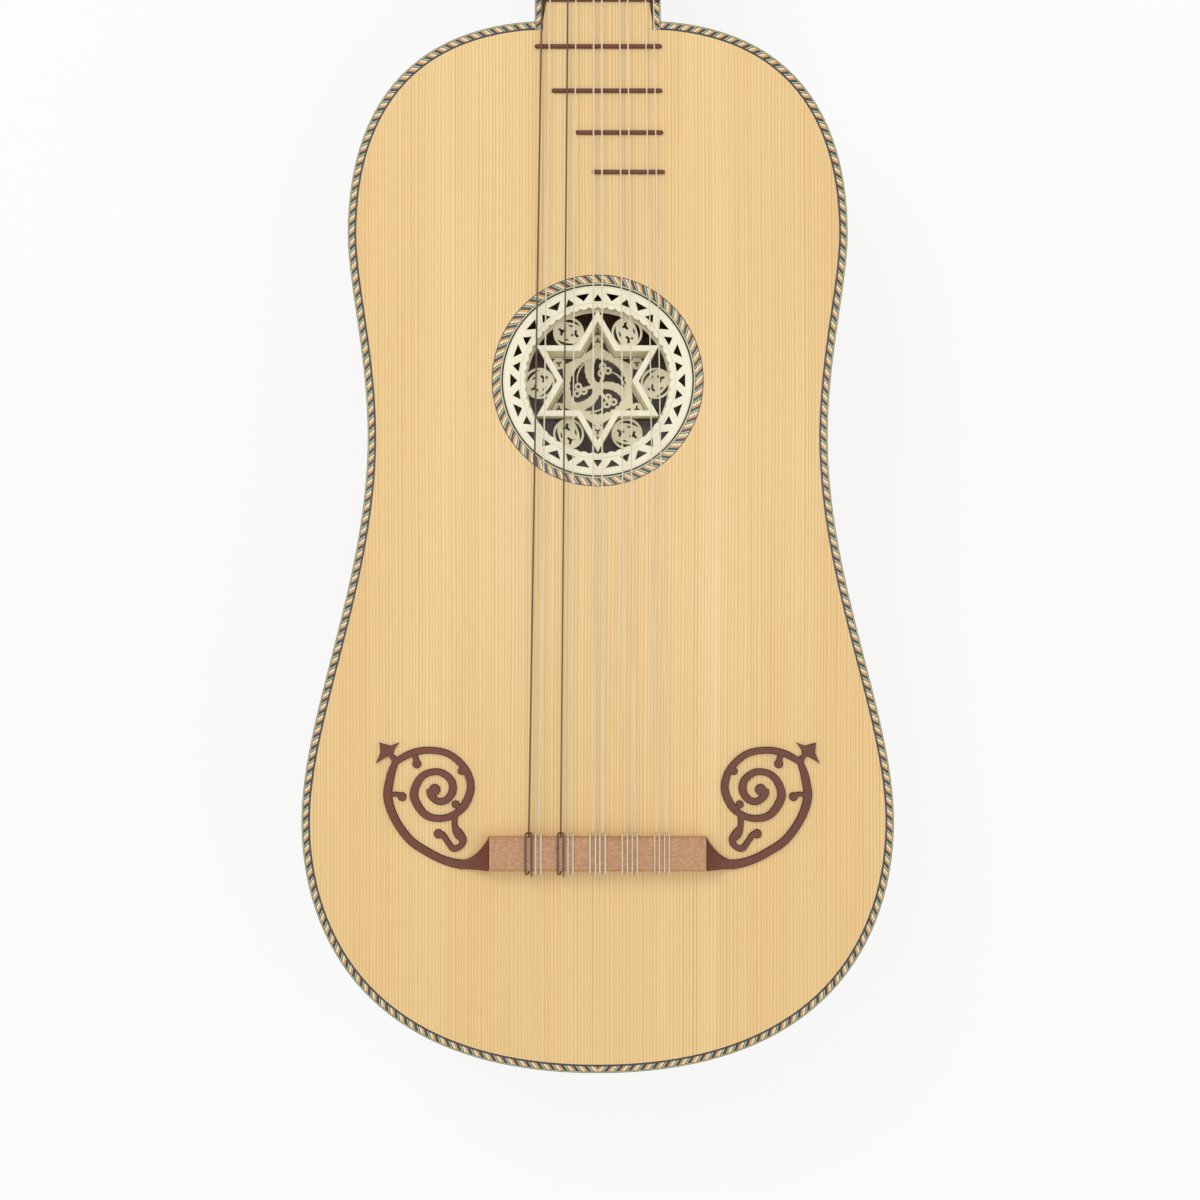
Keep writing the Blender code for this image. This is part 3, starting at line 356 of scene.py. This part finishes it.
def gut(name, dark, light, coils):
    """Twisted gut, or the close coils of an overspun string."""
    f = Finish(name, 0.32, 0.2)
    x, y, z = f.place()
    twist = ((y * coils + x * coils * 0.8).maths("SINE") + 1) * 0.5
    tone = f.noise(f.vector(x * 300, y * 40, z * 300), 1.0, 3.0)
    f.colour(f.mix(twist * 0.12 + tone * 0.7, dark, light))
    f.bump(twist, 0.15, 0.00005)
    return f.made


def bone():
    """Cream bone with faint streaks across the neck."""
    f = Finish("bone", 0.35, 0.2)
    x, y, z = f.place()
    streak = f.noise(f.vector(x * 90, y * 900, z * 90), 1.0, 3.0)
    f.colour(f.mix(streak, (0.72, 0.64, 0.46), (0.88, 0.83, 0.70)))
    f.bump(streak, 0.1, 0.0001)
    return f.made


# Shapes on the body's outline

def half_outline():
    """The treble half of the outline, from the tail to the corner at the neck."""
    lower, waist, upper = LOWER_BOUT[0], WAIST[0], UPPER_BOUT[0]
    knots = (
        ((0, 0), (102.6, 0), (lower, 60.9), LOWER_BOUT),
        (LOWER_BOUT, (lower, 156.7), (waist, 216.3), WAIST),
        (WAIST, (waist, 314.9), (upper, 347.2), UPPER_BOUT),
        (UPPER_BOUT, (upper, 417.7), (88.6, 458.7), NECK_CORNER),
    )
    points = []
    for knot in knots:
        handles = [Vector((x, y, 0)) * MM for x, y in knot]
        points += [p.to_2d() for p in interpolate_bezier(*handles, OUTLINE_STEPS)[:-1]]
    return points + [Vector((NECK_WIDE / 2, BODY_LENGTH))]


HALF = half_outline()
SIDES = ((-1, "bass"), (1, "treble"))


def inset(distance):
    """The half outline moved inwards."""
    moved = []
    for i, point in enumerate(HALF):
        along = (HALF[min(i + 1, len(HALF) - 1)] - HALF[max(i - 1, 0)]).normalized()
        moved.append(point + distance * Vector((-along.y, along.x)))
    moved[0] = Vector((0, distance))
    moved[-1] = Vector((HALF[-1].x, HALF[-1].y - distance))
    return moved


def whole(half):
    """Both halves of an outline, from the bass side round the tail to the treble side."""
    return [Vector((-p.x, p.y)) for p in reversed(half[1:])] + half


def ring(radius, count=160):
    """A circle round the middle of the rose."""
    turn = 2 * math.pi / count
    return [Vector((radius * math.cos(turn * i), ROSE_AT + radius * math.sin(turn * i)))
            for i in range(count)]


def finish_piece(bm, name, finish, nodes):
    """A mesh in the guitar's place, riding on the body of the nodes it stands for."""
    bmesh.ops.recalc_face_normals(bm, faces=bm.faces)
    mesh = bpy.data.meshes.new(name)
    bm.to_mesh(mesh)
    bm.free()
    piece = bpy.data.objects.new(name, mesh)
    bpy.context.collection.objects.link(piece)
    mesh.materials.append(finish)
    mesh.shade_smooth()
    mesh.set_sharp_from_angle(angle=math.radians(30))
    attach(piece, "root")
    if nodes:
        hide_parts(*nodes)


def band(name, outer, inner, top, depth, finish, nodes, closed=False, start=0.0):
    """A flat band between two lines, with U along it and V from the inner line to the outer."""
    bm = bmesh.new()
    layer = bm.loops.layers.uv.new("UVMap")
    travelled = [0.0]
    for a, b in zip(outer, outer[1:] + outer[:1]):
        travelled.append(travelled[-1] + (b - a).length)
    rows = []
    for far, near in zip(outer, inner):
        corners = ((near, top), (far, top), (far, top - depth), (near, top - depth))
        rows.append([bm.verts.new((p.x, TAIL + p.y, z)) for p, z in corners])
    across = (0.0, 1.0, 1.0, 0.0)
    count = len(rows)
    for i in range(count if closed else count - 1):
        here, there = rows[i], rows[(i + 1) % count]
        for k in range(4):
            m = (k + 1) % 4
            face = bm.faces.new((here[k], there[k], there[m], here[m]))
            ends = ((i, k), (i + 1, k), (i + 1, m), (i, m))
            for loop, (step, corner) in zip(face.loops, ends):
                loop[layer].uv = (start + travelled[step], across[corner])
    if not closed:
        bm.faces.new(rows[0])
        bm.faces.new(rows[-1])
    finish_piece(bm, name, finish, nodes)


def filled(bm, loops, z):
    """Faces between an outline and the loops of the holes in it."""
    edges = []
    for loop in loops:
        verts = [bm.verts.new((p.x, TAIL + p.y, z)) for p in loop]
        edges += [bm.edges.new(pair) for pair in zip(verts, verts[1:] + verts[:1])]
    made = bmesh.ops.triangle_fill(bm, edges=edges, use_beauty=True)
    return [item for item in made["geom"] if isinstance(item, bmesh.types.BMFace)]


def sheet(bm, loops, top, thick):
    """A flat sheet with straight sides, its first loop the outline and the others holes."""
    faces = filled(bm, loops, top)
    grown = bmesh.ops.extrude_face_region(bm, geom=faces, use_keep_orig=True)
    moved = [item for item in grown["geom"] if isinstance(item, bmesh.types.BMVert)]
    bmesh.ops.translate(bm, verts=moved, vec=(0, 0, -thick))


def soundboard(finish):
    """One smooth plate inside the rope, with the tongue on the neck and the rose's opening."""
    side = NECK_WIDE / 2 - ROPE_WIDTH - HAIRLINE
    corner = BODY_LENGTH - ROPE_WIDTH - HAIRLINE
    narrow = side - TONGUE_STEP
    tip = BODY_LENGTH + TONGUE_LENGTH
    tongue = [Vector((side, corner)), Vector((side, BODY_LENGTH)),
              Vector((narrow, BODY_LENGTH + TONGUE_SHOULDER)),
              Vector((0.93 * narrow, tip - 18 * MM))]
    for share, back in ((0.80, 12), (0.60, 8), (0.42, 6), (0.2, 3.5)):
        tongue.append(Vector((share * side, tip - back * MM)))
    tongue.append(Vector((0, tip)))
    edge = whole(inset(ROPE_WIDTH + HAIRLINE)[:-1])
    loop = edge + tongue + [Vector((-p.x, p.y)) for p in reversed(tongue[:-1])]
    bm = bmesh.new()
    sheet(bm, [loop, ring(ROSE_ROPE_OUTER + HAIRLINE)], TOP, TOP_THICK)
    finish_piece(bm, "top_plate", finish, ["soundboard"])


def body_shell(rib_finish, rope):
    """Ribs and edge rope with a smooth outline; the rope starts afresh at the tail each way."""
    low = TOP - TOP_THICK
    for side, name in SIDES:
        outer = [Vector((side * p.x, p.y)) for p in HALF]
        rim = [Vector((side * p.x, p.y)) for p in inset(RIB_THICK)]
        line = [Vector((side * p.x, p.y)) for p in inset(ROPE_WIDTH)]
        band(f"rib_shell_{name}", outer, rim, low + RIB_LAP, low - BACK_THICK, rib_finish,
             [f"rib_{name}"])
        band(f"edge_band_{name}", outer, line, TOP, TOP_THICK - ROPE_CLEAR, rope,
             ["edge_rope"])


def rib_end(finish):
    """The ribs' veneer that closes the body beside the heel."""
    half = NECK_WIDE / 2 - VENEER_IN
    near = BODY_LENGTH + VENEER_NEAR
    far = BODY_LENGTH + VENEER_FAR
    loop = [Vector(p) for p in ((-half, near), (half, near), (half, far), (-half, far))]
    bm = bmesh.new()
    low = TOP - TOP_THICK - GAP
    sheet(bm, [loop], low, low - BACK_THICK - GAP)
    finish_piece(bm, "rib_end", finish, [])


def neck_bands(rope):
    """The rope along both edges of the neck, from the body to the nut."""
    foot = BODY_LENGTH - ROPE_WIDTH
    slope = (NUT_WIDE - NECK_WIDE) / 2 / (NUT_AT - BODY_LENGTH)
    for side, name in SIDES:
        outer, inner = [], []
        for y in (foot, BODY_LENGTH, NUT_AT - GAP):
            half = NECK_WIDE / 2 + slope * max(0.0, y - BODY_LENGTH)
            outer.append(Vector((side * half, y)))
            inner.append(Vector((side * (half - ROPE_WIDTH), y)))
        band(f"neck_band_{name}", outer, inner, TOP, TOP_THICK, rope,
             [f"neck_rope_{name}"], start=NECK_ROPE_START)


# The rose

def at_angle(degrees, radius, centre=ROSE_CENTRE):
    """The point that far from the centre, counted anticlockwise from the treble side."""
    angle = math.radians(degrees)
    return centre + radius * Vector((math.cos(angle), math.sin(angle)))


def round_hole(centre, radius, count=20):
    """A circle, as an edge or as a hole."""
    return [at_angle(360 * i / count, radius, centre) for i in range(count)]


def scalloped(radius, lobes, depth, steps=8):
    """A round edge of small lobes that reach inwards."""
    count = lobes * steps
    return [at_angle(360 * i / count, radius - depth * abs(math.sin(math.pi * i / steps)) ** 0.7)
            for i in range(count)]


def ribbon(path, widths):
    """The outline of a curved strip along a path."""
    left, right = [], []
    for i, (point, width) in enumerate(zip(path, widths)):
        along = (path[min(i + 1, len(path) - 1)] - path[max(i - 1, 0)]).normalized()
        side = Vector((-along.y, along.x)) * width / 2
        left.append(point + side)
        right.append(point - side)
    return left + right[::-1]


def rose_rope(finish):
    """The rope round the rose, let into the top."""
    band("rose_band", ring(ROSE_ROPE_OUTER), ring(ROSE_RADIUS + HAIRLINE), TOP, ROPE_DEPTH, finish,
         ["rose_rope"], closed=True)


def rose_rim(finish):
    """The flat rim: two rows of eighteen triangles and a scalloped edge over the recess wall."""
    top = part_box("rose_rim")[1][2]
    pitch = 360 / TRIANGLES
    rows = ((0, 38.6, 35.3, 4.7), (pitch / 2, 34.9, 38.0, 3.8))
    holes = []
    for k in range(TRIANGLES):
        for turn, base, tip, half in rows:
            middle = pitch * k + turn
            holes.append([at_angle(middle - half, base * MM), at_angle(middle + half, base * MM),
                          at_angle(middle, tip * MM)])
    bm = bmesh.new()
    edge = round_hole(ROSE_CENTRE, ROSE_RADIUS - GAP, count=160)
    teeth = scalloped(RECESS_RADIUS, lobes=RIM_TEETH, depth=0.9 * MM)
    sheet(bm, [edge, teeth] + holes, top, PARCHMENT)
    wall = [round_hole(ROSE_CENTRE, radius, count=120) for radius in RECESS_WALL]
    sheet(bm, wall, top - PARCHMENT * 0.8, RECESS_HIGH - PARCHMENT)
    finish_piece(bm, "rim_lace", finish, ["rose_rim"])


def clover(centre, turn, size):
    """A hole with three arms."""
    loop = []
    for k in range(3):
        for offset, share in ((-60, 0.34), (-20, 0.85), (0, 1.0), (20, 0.85)):
            loop.append(at_angle(turn + 120 * k + offset, size * share, centre))
    return loop


def slit(centre, middle, radius, sweep, thick):
    """A curved hole that thins out to both ends."""
    steps = [i / 6 - 1 for i in range(13)]
    outer = [at_angle(middle + sweep * s, radius, centre) for s in steps]
    inner = [at_angle(middle + sweep * s, radius - thick * (1 - s * s), centre)
             for s in reversed(steps[1:-1])]
    return outer + inner


def gallery(finish):
    """The second tier: a ring under the rim with six pierced discs between the star's points."""
    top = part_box("rose_gallery")[1][2]
    below = 0.02 * MM
    bm = bmesh.new()
    rings = [round_hole(ROSE_CENTRE, radius, count=120) for radius in GALLERY_RING]
    sheet(bm, rings, top - below, PARCHMENT - below)
    for k in range(DISCS):
        turn = 360 / DISCS * k
        centre = at_angle(turn, DISC_AT)
        loops = [round_hole(centre, DISC_RADIUS, count=48)]
        for side in (turn, turn + 180):
            eye = at_angle(side + 48, 3.0 * MM, centre)
            loops.append(clover(eye, turn=side + 18, size=2.0 * MM))
            loops.append(slit(centre, side - 42, radius=5.9 * MM, sweep=50, thick=1.3 * MM))
            loops.append(slit(centre, side - 48, radius=3.6 * MM, sweep=24, thick=0.8 * MM))
        sheet(bm, loops, top, PARCHMENT)
    finish_piece(bm, "pierced_discs", finish, ["rose_gallery"])


def medallion(finish):
    """The deepest tier: a scalloped ring, three swirling arms, thin crescents, nine eyelets.

    Each layer lies a few hundredths of a millimetre over the last, so that no two faces coincide.
    """
    top = TOP - MEDALLION_DROP
    ring_inner = 13.4 * MM
    hub = 2.2 * MM
    eyelet, eyelet_hole = 1.75 * MM, 0.72 * MM
    bm = bmesh.new()
    outer = round_hole(ROSE_CENTRE, MEDALLION_RADIUS, count=96)
    sheet(bm, [outer, scalloped(ring_inner, lobes=36, depth=0.8 * MM)], top, PARCHMENT)
    cup = [outer, round_hole(ROSE_CENTRE, MEDALLION_RADIUS - CUP_WALL, count=96)]
    sheet(bm, cup, TOP - CUP_DROP - PARCHMENT - GAP, CUP_HIGH - PARCHMENT)
    sheet(bm, [round_hole(ROSE_CENTRE, hub, count=24)], top + 0.02 * MM, PARCHMENT)
    steps = [i / 24 for i in range(25)]
    for k in range(ARMS):
        turn = 70 + 360 / ARMS * k
        arm = [at_angle(turn + 72 - 40 * t, (1.2 + 12.4 * t) * MM) for t in steps]
        wide = [(2.6 + 1.3 * t + 0.6 * abs(math.sin(6 * math.pi * t))) * MM for t in steps]
        sheet(bm, [ribbon(arm, wide)], top + 0.04 * MM, PARCHMENT)
        stem = [at_angle(turn - 18 * (1 - t), (1.0 + 6.0 * t) * MM) for t in steps]
        sheet(bm, [ribbon(stem, [1.5 * MM for t in steps])], top + 0.05 * MM, PARCHMENT)
        line = [at_angle(turn - 20 - 62 * t, (9.0 + 4.0 * t ** 0.8) * MM) for t in steps]
        thin = [(0.25 + 0.5 * math.sin(math.pi * t)) * MM for t in steps]
        sheet(bm, [ribbon(line, thin)], top + 0.06 * MM, PARCHMENT)
        middle = at_angle(turn, 8.3 * MM)
        for j in range(3):
            eye = at_angle(turn + 40 + 120 * j, 1.85 * MM, middle)
            loops = [round_hole(eye, eyelet), round_hole(eye, eyelet_hole)]
            sheet(bm, loops, top + (0.08 + 0.02 * j) * MM, PARCHMENT)
    finish_piece(bm, "swirl_medallion", finish, ["rose_medallion"])


# Bridge scrolls

def curve(points, steps=10):
    """A smooth line through points whose last number is the width there."""
    rows = [points[0], *points, points[-1]]
    line = []
    for a, b, c, d in zip(rows, rows[1:], rows[2:], rows[3:]):
        for i in range(steps):
            t = i / steps
            line.append([
                0.5 * (2 * q + (r - p) * t + (2 * p - 5 * q + 4 * r - u) * t ** 2
                       + (3 * q - 3 * r + u - p) * t ** 3)
                for p, q, r, u in zip(a, b, c, d)])
    return line + [list(points[-1])]


# Millimetres out from the bridge's end and up from its back edge, and the width there
BAND = ((0, 2.2, 4.2), (8, 2.1, 4.0), (14, 2.3, 3.6), (20.4, 4.1, 3.3), (27, 7.4, 3.3),
        (35, 12.9, 3.3), (41.5, 22, 3.3),
        (44.6, 31.4, 3.5), (43.5, 40.6, 3.2), (41.6, 46.8, 2.4), (42.6, 49.6, 2.2))
RING = ((42.0, 46.6, 2.4), (34.9, 50.6, 2.7), (27, 52.2, 2.6), (17.8, 50.5, 2.6), (10.6, 43.9, 2.8),
        (8.2, 36, 3.0), (10.6, 28.7, 3.2), (15.2, 24.1, 2.6), (21.8, 22.2, 2.6), (28.4, 24.1, 3.0),
        (33, 31.4, 3.3), (31.6, 38, 3.0), (27.7, 41.9, 2.6), (21.8, 42.6, 2.6), (17.1, 39.3, 2.9),
        (16.1, 34.7, 3.1), (18.5, 30.7, 2.8), (22.4, 29.7, 2.6), (25.7, 32.4, 2.8), (26.0, 35.2, 2.8))
CURL = ((15.2, 23.5, 2.2), (15.2, 18.9, 2.2), (13.6, 15.6, 3.9), (11.7, 13.0, 3.0), (12.5, 10.3, 2.2),
        (15.8, 9.0, 2.4), (18.5, 12.3, 2.2), (20.4, 14.9, 2.4), (22.2, 15.6, 2.6))
# Each bud is three points of its stem and the radius of its round end
BUDS = (((33.2, 51.0, 1.6), (32.2, 48.2, 2.2), (31.9, 46.2, 2.4), 1.75),
        ((10.4, 44.6, 1.4), (11.4, 43.6, 1.8), (12.3, 43.0, 2.2), 1.45),
        ((13.3, 27.2, 1.4), (14.2, 27.8, 1.8), (14.8, 28.4, 2.2), 1.55),
        ((44.2, 32.2, 1.6), (41.0, 33.0, 1.6), (38.4, 31.8, 2.4), 1.75))
LEAF = ((42.6, 48.6), (42.0, 52.4), (39.8, 55.4), (43.5, 54.1), (48.2, 55.4), (47.8, 51.2),
        (49.7, 46.6), (46.8, 48.4), (44.4, 49.6))
LEAF_MIDDLE = Vector((45.0, 51.4))
ROUND_ENDS = ((24.0, 34.9, 2.3), (22.4, 15.5, 1.85))
# Extra width, underside and top in millimetres: the scorched foot, then the scroll on it
LAYERS = ((0.7, 0.02, 0.7), (0.0, 0.5, 1.3))
# What the widths and radii above lose, and the step in height that keeps strokes apart
STROKE_TRIM = 0.25
END_TRIM = 0.12
STROKE_STEP = 0.004
# The ramp's height and depth in millimetres at its thin end, and what they gain at the bridge
RAMP_STEPS = 24
RAMP_CURVE = 2.2
RAMP_THIN = 1.0
RAMP_RISE = 7.0
RAMP_NARROW = 4.0
RAMP_SPREAD = 10.5


def scroll(side, name, finish):
    """The dark scroll beside the bridge, its foot a little wider and scorched, and its ramp."""
    def spot(x, y):
        return Vector((side * (BRIDGE_END + x * MM), BRIDGE_BACK + y * MM))

    bm = bmesh.new()
    strokes = [curve(BAND), curve(RING), curve(CURL)] + [curve(bud[:3], 6) for bud in BUDS]
    ends = [*ROUND_ENDS] + [(*bud[2][:2], bud[3]) for bud in BUDS]
    for grow, low, high in LAYERS:
        for i, line in enumerate(strokes):
            path = [spot(*point[:2]) for point in line]
            wide = [(point[2] - STROKE_TRIM + grow) * MM for point in line]
            top = high + STROKE_STEP * i
            sheet(bm, [ribbon(path, wide)], TOP + top * MM, (top - low) * MM)
        for i, (x, y, size) in enumerate(ends):
            top = high - 0.01 - STROKE_STEP * i
            radius = (size - END_TRIM + grow / 2) * MM
            sheet(bm, [round_hole(spot(x, y), radius)], TOP + top * MM, (top - low) * MM)
        spread = 0.94 + grow * 0.14
        leaf = [LEAF_MIDDLE + (Vector(point) - LEAF_MIDDLE) * spread for point in LEAF]
        sheet(bm, [[spot(*point) for point in leaf]], TOP + (high - 0.06) * MM, (high - low) * MM)
    rings = []
    for step in range(RAMP_STEPS + 1):
        share = step / RAMP_STEPS
        fall = (1 - share) ** RAMP_CURVE
        tall = (RAMP_THIN + RAMP_RISE * fall) * MM
        deep = (RAMP_NARROW + RAMP_SPREAD * fall) * MM
        x = side * (BRIDGE_END + share * RAMP_LENGTH)
        rows = ((0, 0), (deep, 0), (deep, 0.8 * tall), (0.93 * deep, 0.95 * tall), (0.8 * deep, tall),
                (0, tall))
        rings.append([bm.verts.new((x, TAIL + BRIDGE_BACK + y, TOP + GAP + z)) for y, z in rows])
    for here, there in zip(rings, rings[1:]):
        for k in range(6):
            bm.faces.new((here[k], there[k], there[(k + 1) % 6], here[(k + 1) % 6]))
    bm.faces.new(rings[0])
    bm.faces.new(rings[-1])
    finish_piece(bm, f"scroll_{name}", finish, [f"moustache_{name}"])


# Stage

def floor():
    """White paper under the guitar, which glows a little where the camera sees it."""
    bpy.ops.mesh.primitive_plane_add(size=FLOOR_SIZE, location=(0, 0, 0))
    paper = bpy.context.object
    paper.name = "floor"
    f = Finish("floor_paper", 0.9)
    x, y, z = f.place()
    f.colour(f.mix(f.noise(f.vector(x, y, z), 3.0), (0.87, 0.87, 0.87), (0.89, 0.89, 0.89)))
    rays = f.node("ShaderNodeLightPath").outputs
    seen = Value(f, rays["Is Camera Ray"]) + Value(f, rays["Is Glossy Ray"])
    seen = (seen + Value(f, rays["Is Transmission Ray"])).maths("MINIMUM", 1.0)
    white = f.node("ShaderNodeEmission", values={"Color": (1.0, 1.0, 1.0), "Strength": 1.0})
    both = f.node("ShaderNodeMixShader", values=[seen * FLOOR_GLOW])
    f.tree.links.new(f.shader.outputs[0], both.inputs[1])
    f.tree.links.new(white.outputs[0], both.inputs[2])
    f.tree.links.new(both.outputs[0], f.tree.nodes["Material Output"].inputs[0])
    paper.data.materials.append(f.made)


def room():
    """A room that looks white and lights the guitar less than that."""
    world = bpy.data.worlds.new("room")
    bpy.context.scene.world = world
    world.use_nodes = True
    tree = world.node_tree
    tree.nodes["Background"].inputs[0].default_value = (1, 1, 1, 1)
    rays = tree.nodes.new("ShaderNodeLightPath").outputs
    last = rays["Is Camera Ray"]
    for ray in ("Is Glossy Ray", "Is Transmission Ray"):
        most = tree.nodes.new("ShaderNodeMath")
        most.operation = "MAXIMUM"
        tree.links.new(last, most.inputs[0])
        tree.links.new(rays[ray], most.inputs[1])
        last = most.outputs[0]
    level = tree.nodes.new("ShaderNodeMath")
    level.operation = "MULTIPLY_ADD"
    tree.links.new(last, level.inputs[0])
    level.inputs[1].default_value = 1 - ROOM_LIGHT
    level.inputs[2].default_value = ROOM_LIGHT
    tree.links.new(level.outputs[0], tree.nodes["Background"].inputs[1])


# Name, place, width and power of each lamp
LAMPS = (("key", (-0.8, 1.0, 1.6), 0.9, 10.0), ("fill", (1.2, -0.6, 1.6), 1.4, 5.0),
         ("over", (0.05, 0.1, 2.0), 0.5, 5.5))


def lamps():
    """Three soft lamps that look at the middle of the body."""
    for name, spot, size, power in LAMPS:
        data = bpy.data.lights.new(name, "AREA")
        data.size = size
        data.energy = power
        lamp = bpy.data.objects.new(name, data)
        lamp.location = spot
        lamp.rotation_euler = (-Vector(spot)).to_track_quat("-Z", "Y").to_euler()
        bpy.context.collection.objects.link(lamp)


def camera():
    """Straight over the soundboard: 528 mm of it fill the frame from 0.85 m away."""
    data = bpy.data.cameras.new("camera")
    data.lens = 58
    data.sensor_width = 36
    made = bpy.data.objects.new("camera", data)
    made.location = (CAMERA_SIDE, TAIL + CAMERA_AT, TOP + CAMERA_HIGH)
    bpy.context.collection.objects.link(made)
    bpy.context.scene.camera = made
    bpy.context.scene.view_settings.view_transform = "Standard"


def dress(finishes):
    """Each CAD node that stays takes the finish of its slot."""
    for part in frame["record"]["subparts"]:
        node = frame["nodes"][part["node"]]
        for slot in node.material_slots:
            slot.material = finishes[part["material_slot"]]


def all_finishes():
    """The finish of each material slot of the record."""
    return {
        "spruce": spruce(),
        "rib_wood": figured_wood("rib_maple", (0.20, 0.075, 0.022), (0.36, 0.15, 0.05), 0.3, 0.4,
                                 grain=(200, 10), flame=0.5),
        "rope_inlay": rope_wood("edge_rope", 0.66, EDGE_LINES),
        "scroll_wood": figured_wood("scroll_wood", (0.05, 0.012, 0.006), (0.25, 0.072, 0.037), 0.5,
                                    0.05, grain=(900, 130), scorch=0.85),
        "neck_wood": figured_wood("neck_wood", (0.05, 0.02, 0.01), (0.15, 0.06, 0.03), 0.35, 0.3),
        "peg_wood": figured_wood("peg_wood", (0.03, 0.012, 0.008), (0.11, 0.04, 0.02), 0.3, 0.3),
        "bridge_wood": figured_wood("bridge_wood", (0.30, 0.14, 0.065), (0.62, 0.35, 0.19), 0.5,
                                    0.05, grain=(420, 300), fleck=0.45),
        "parchment": parchment(),
        "bone": bone(),
        "gut": gut("gut", (0.62, 0.52, 0.36), (0.90, 0.82, 0.64), coils=2600),
        "wound_string": gut("overspun", (0.05, 0.028, 0.018), (0.22, 0.14, 0.09), coils=9000),
    }


def build():
    """Dresses the CAD nodes, makes the smooth pieces and sets the stage."""
    finishes = all_finishes()
    dress(finishes)
    soundboard(finishes["spruce"])
    body_shell(finishes["rib_wood"], finishes["rope_inlay"])
    neck_bands(finishes["rope_inlay"])
    rose_rope(rope_wood("rose_rope", -0.82, ROSE_LINES))
    rose_rim(finishes["parchment"])
    gallery(finishes["parchment"])
    medallion(finishes["parchment"])
    rib_end(finishes["rib_wood"])
    for side, name in SIDES:
        scroll(side, name, finishes["scroll_wood"])
    floor()
    room()
    lamps()
    camera()


build()
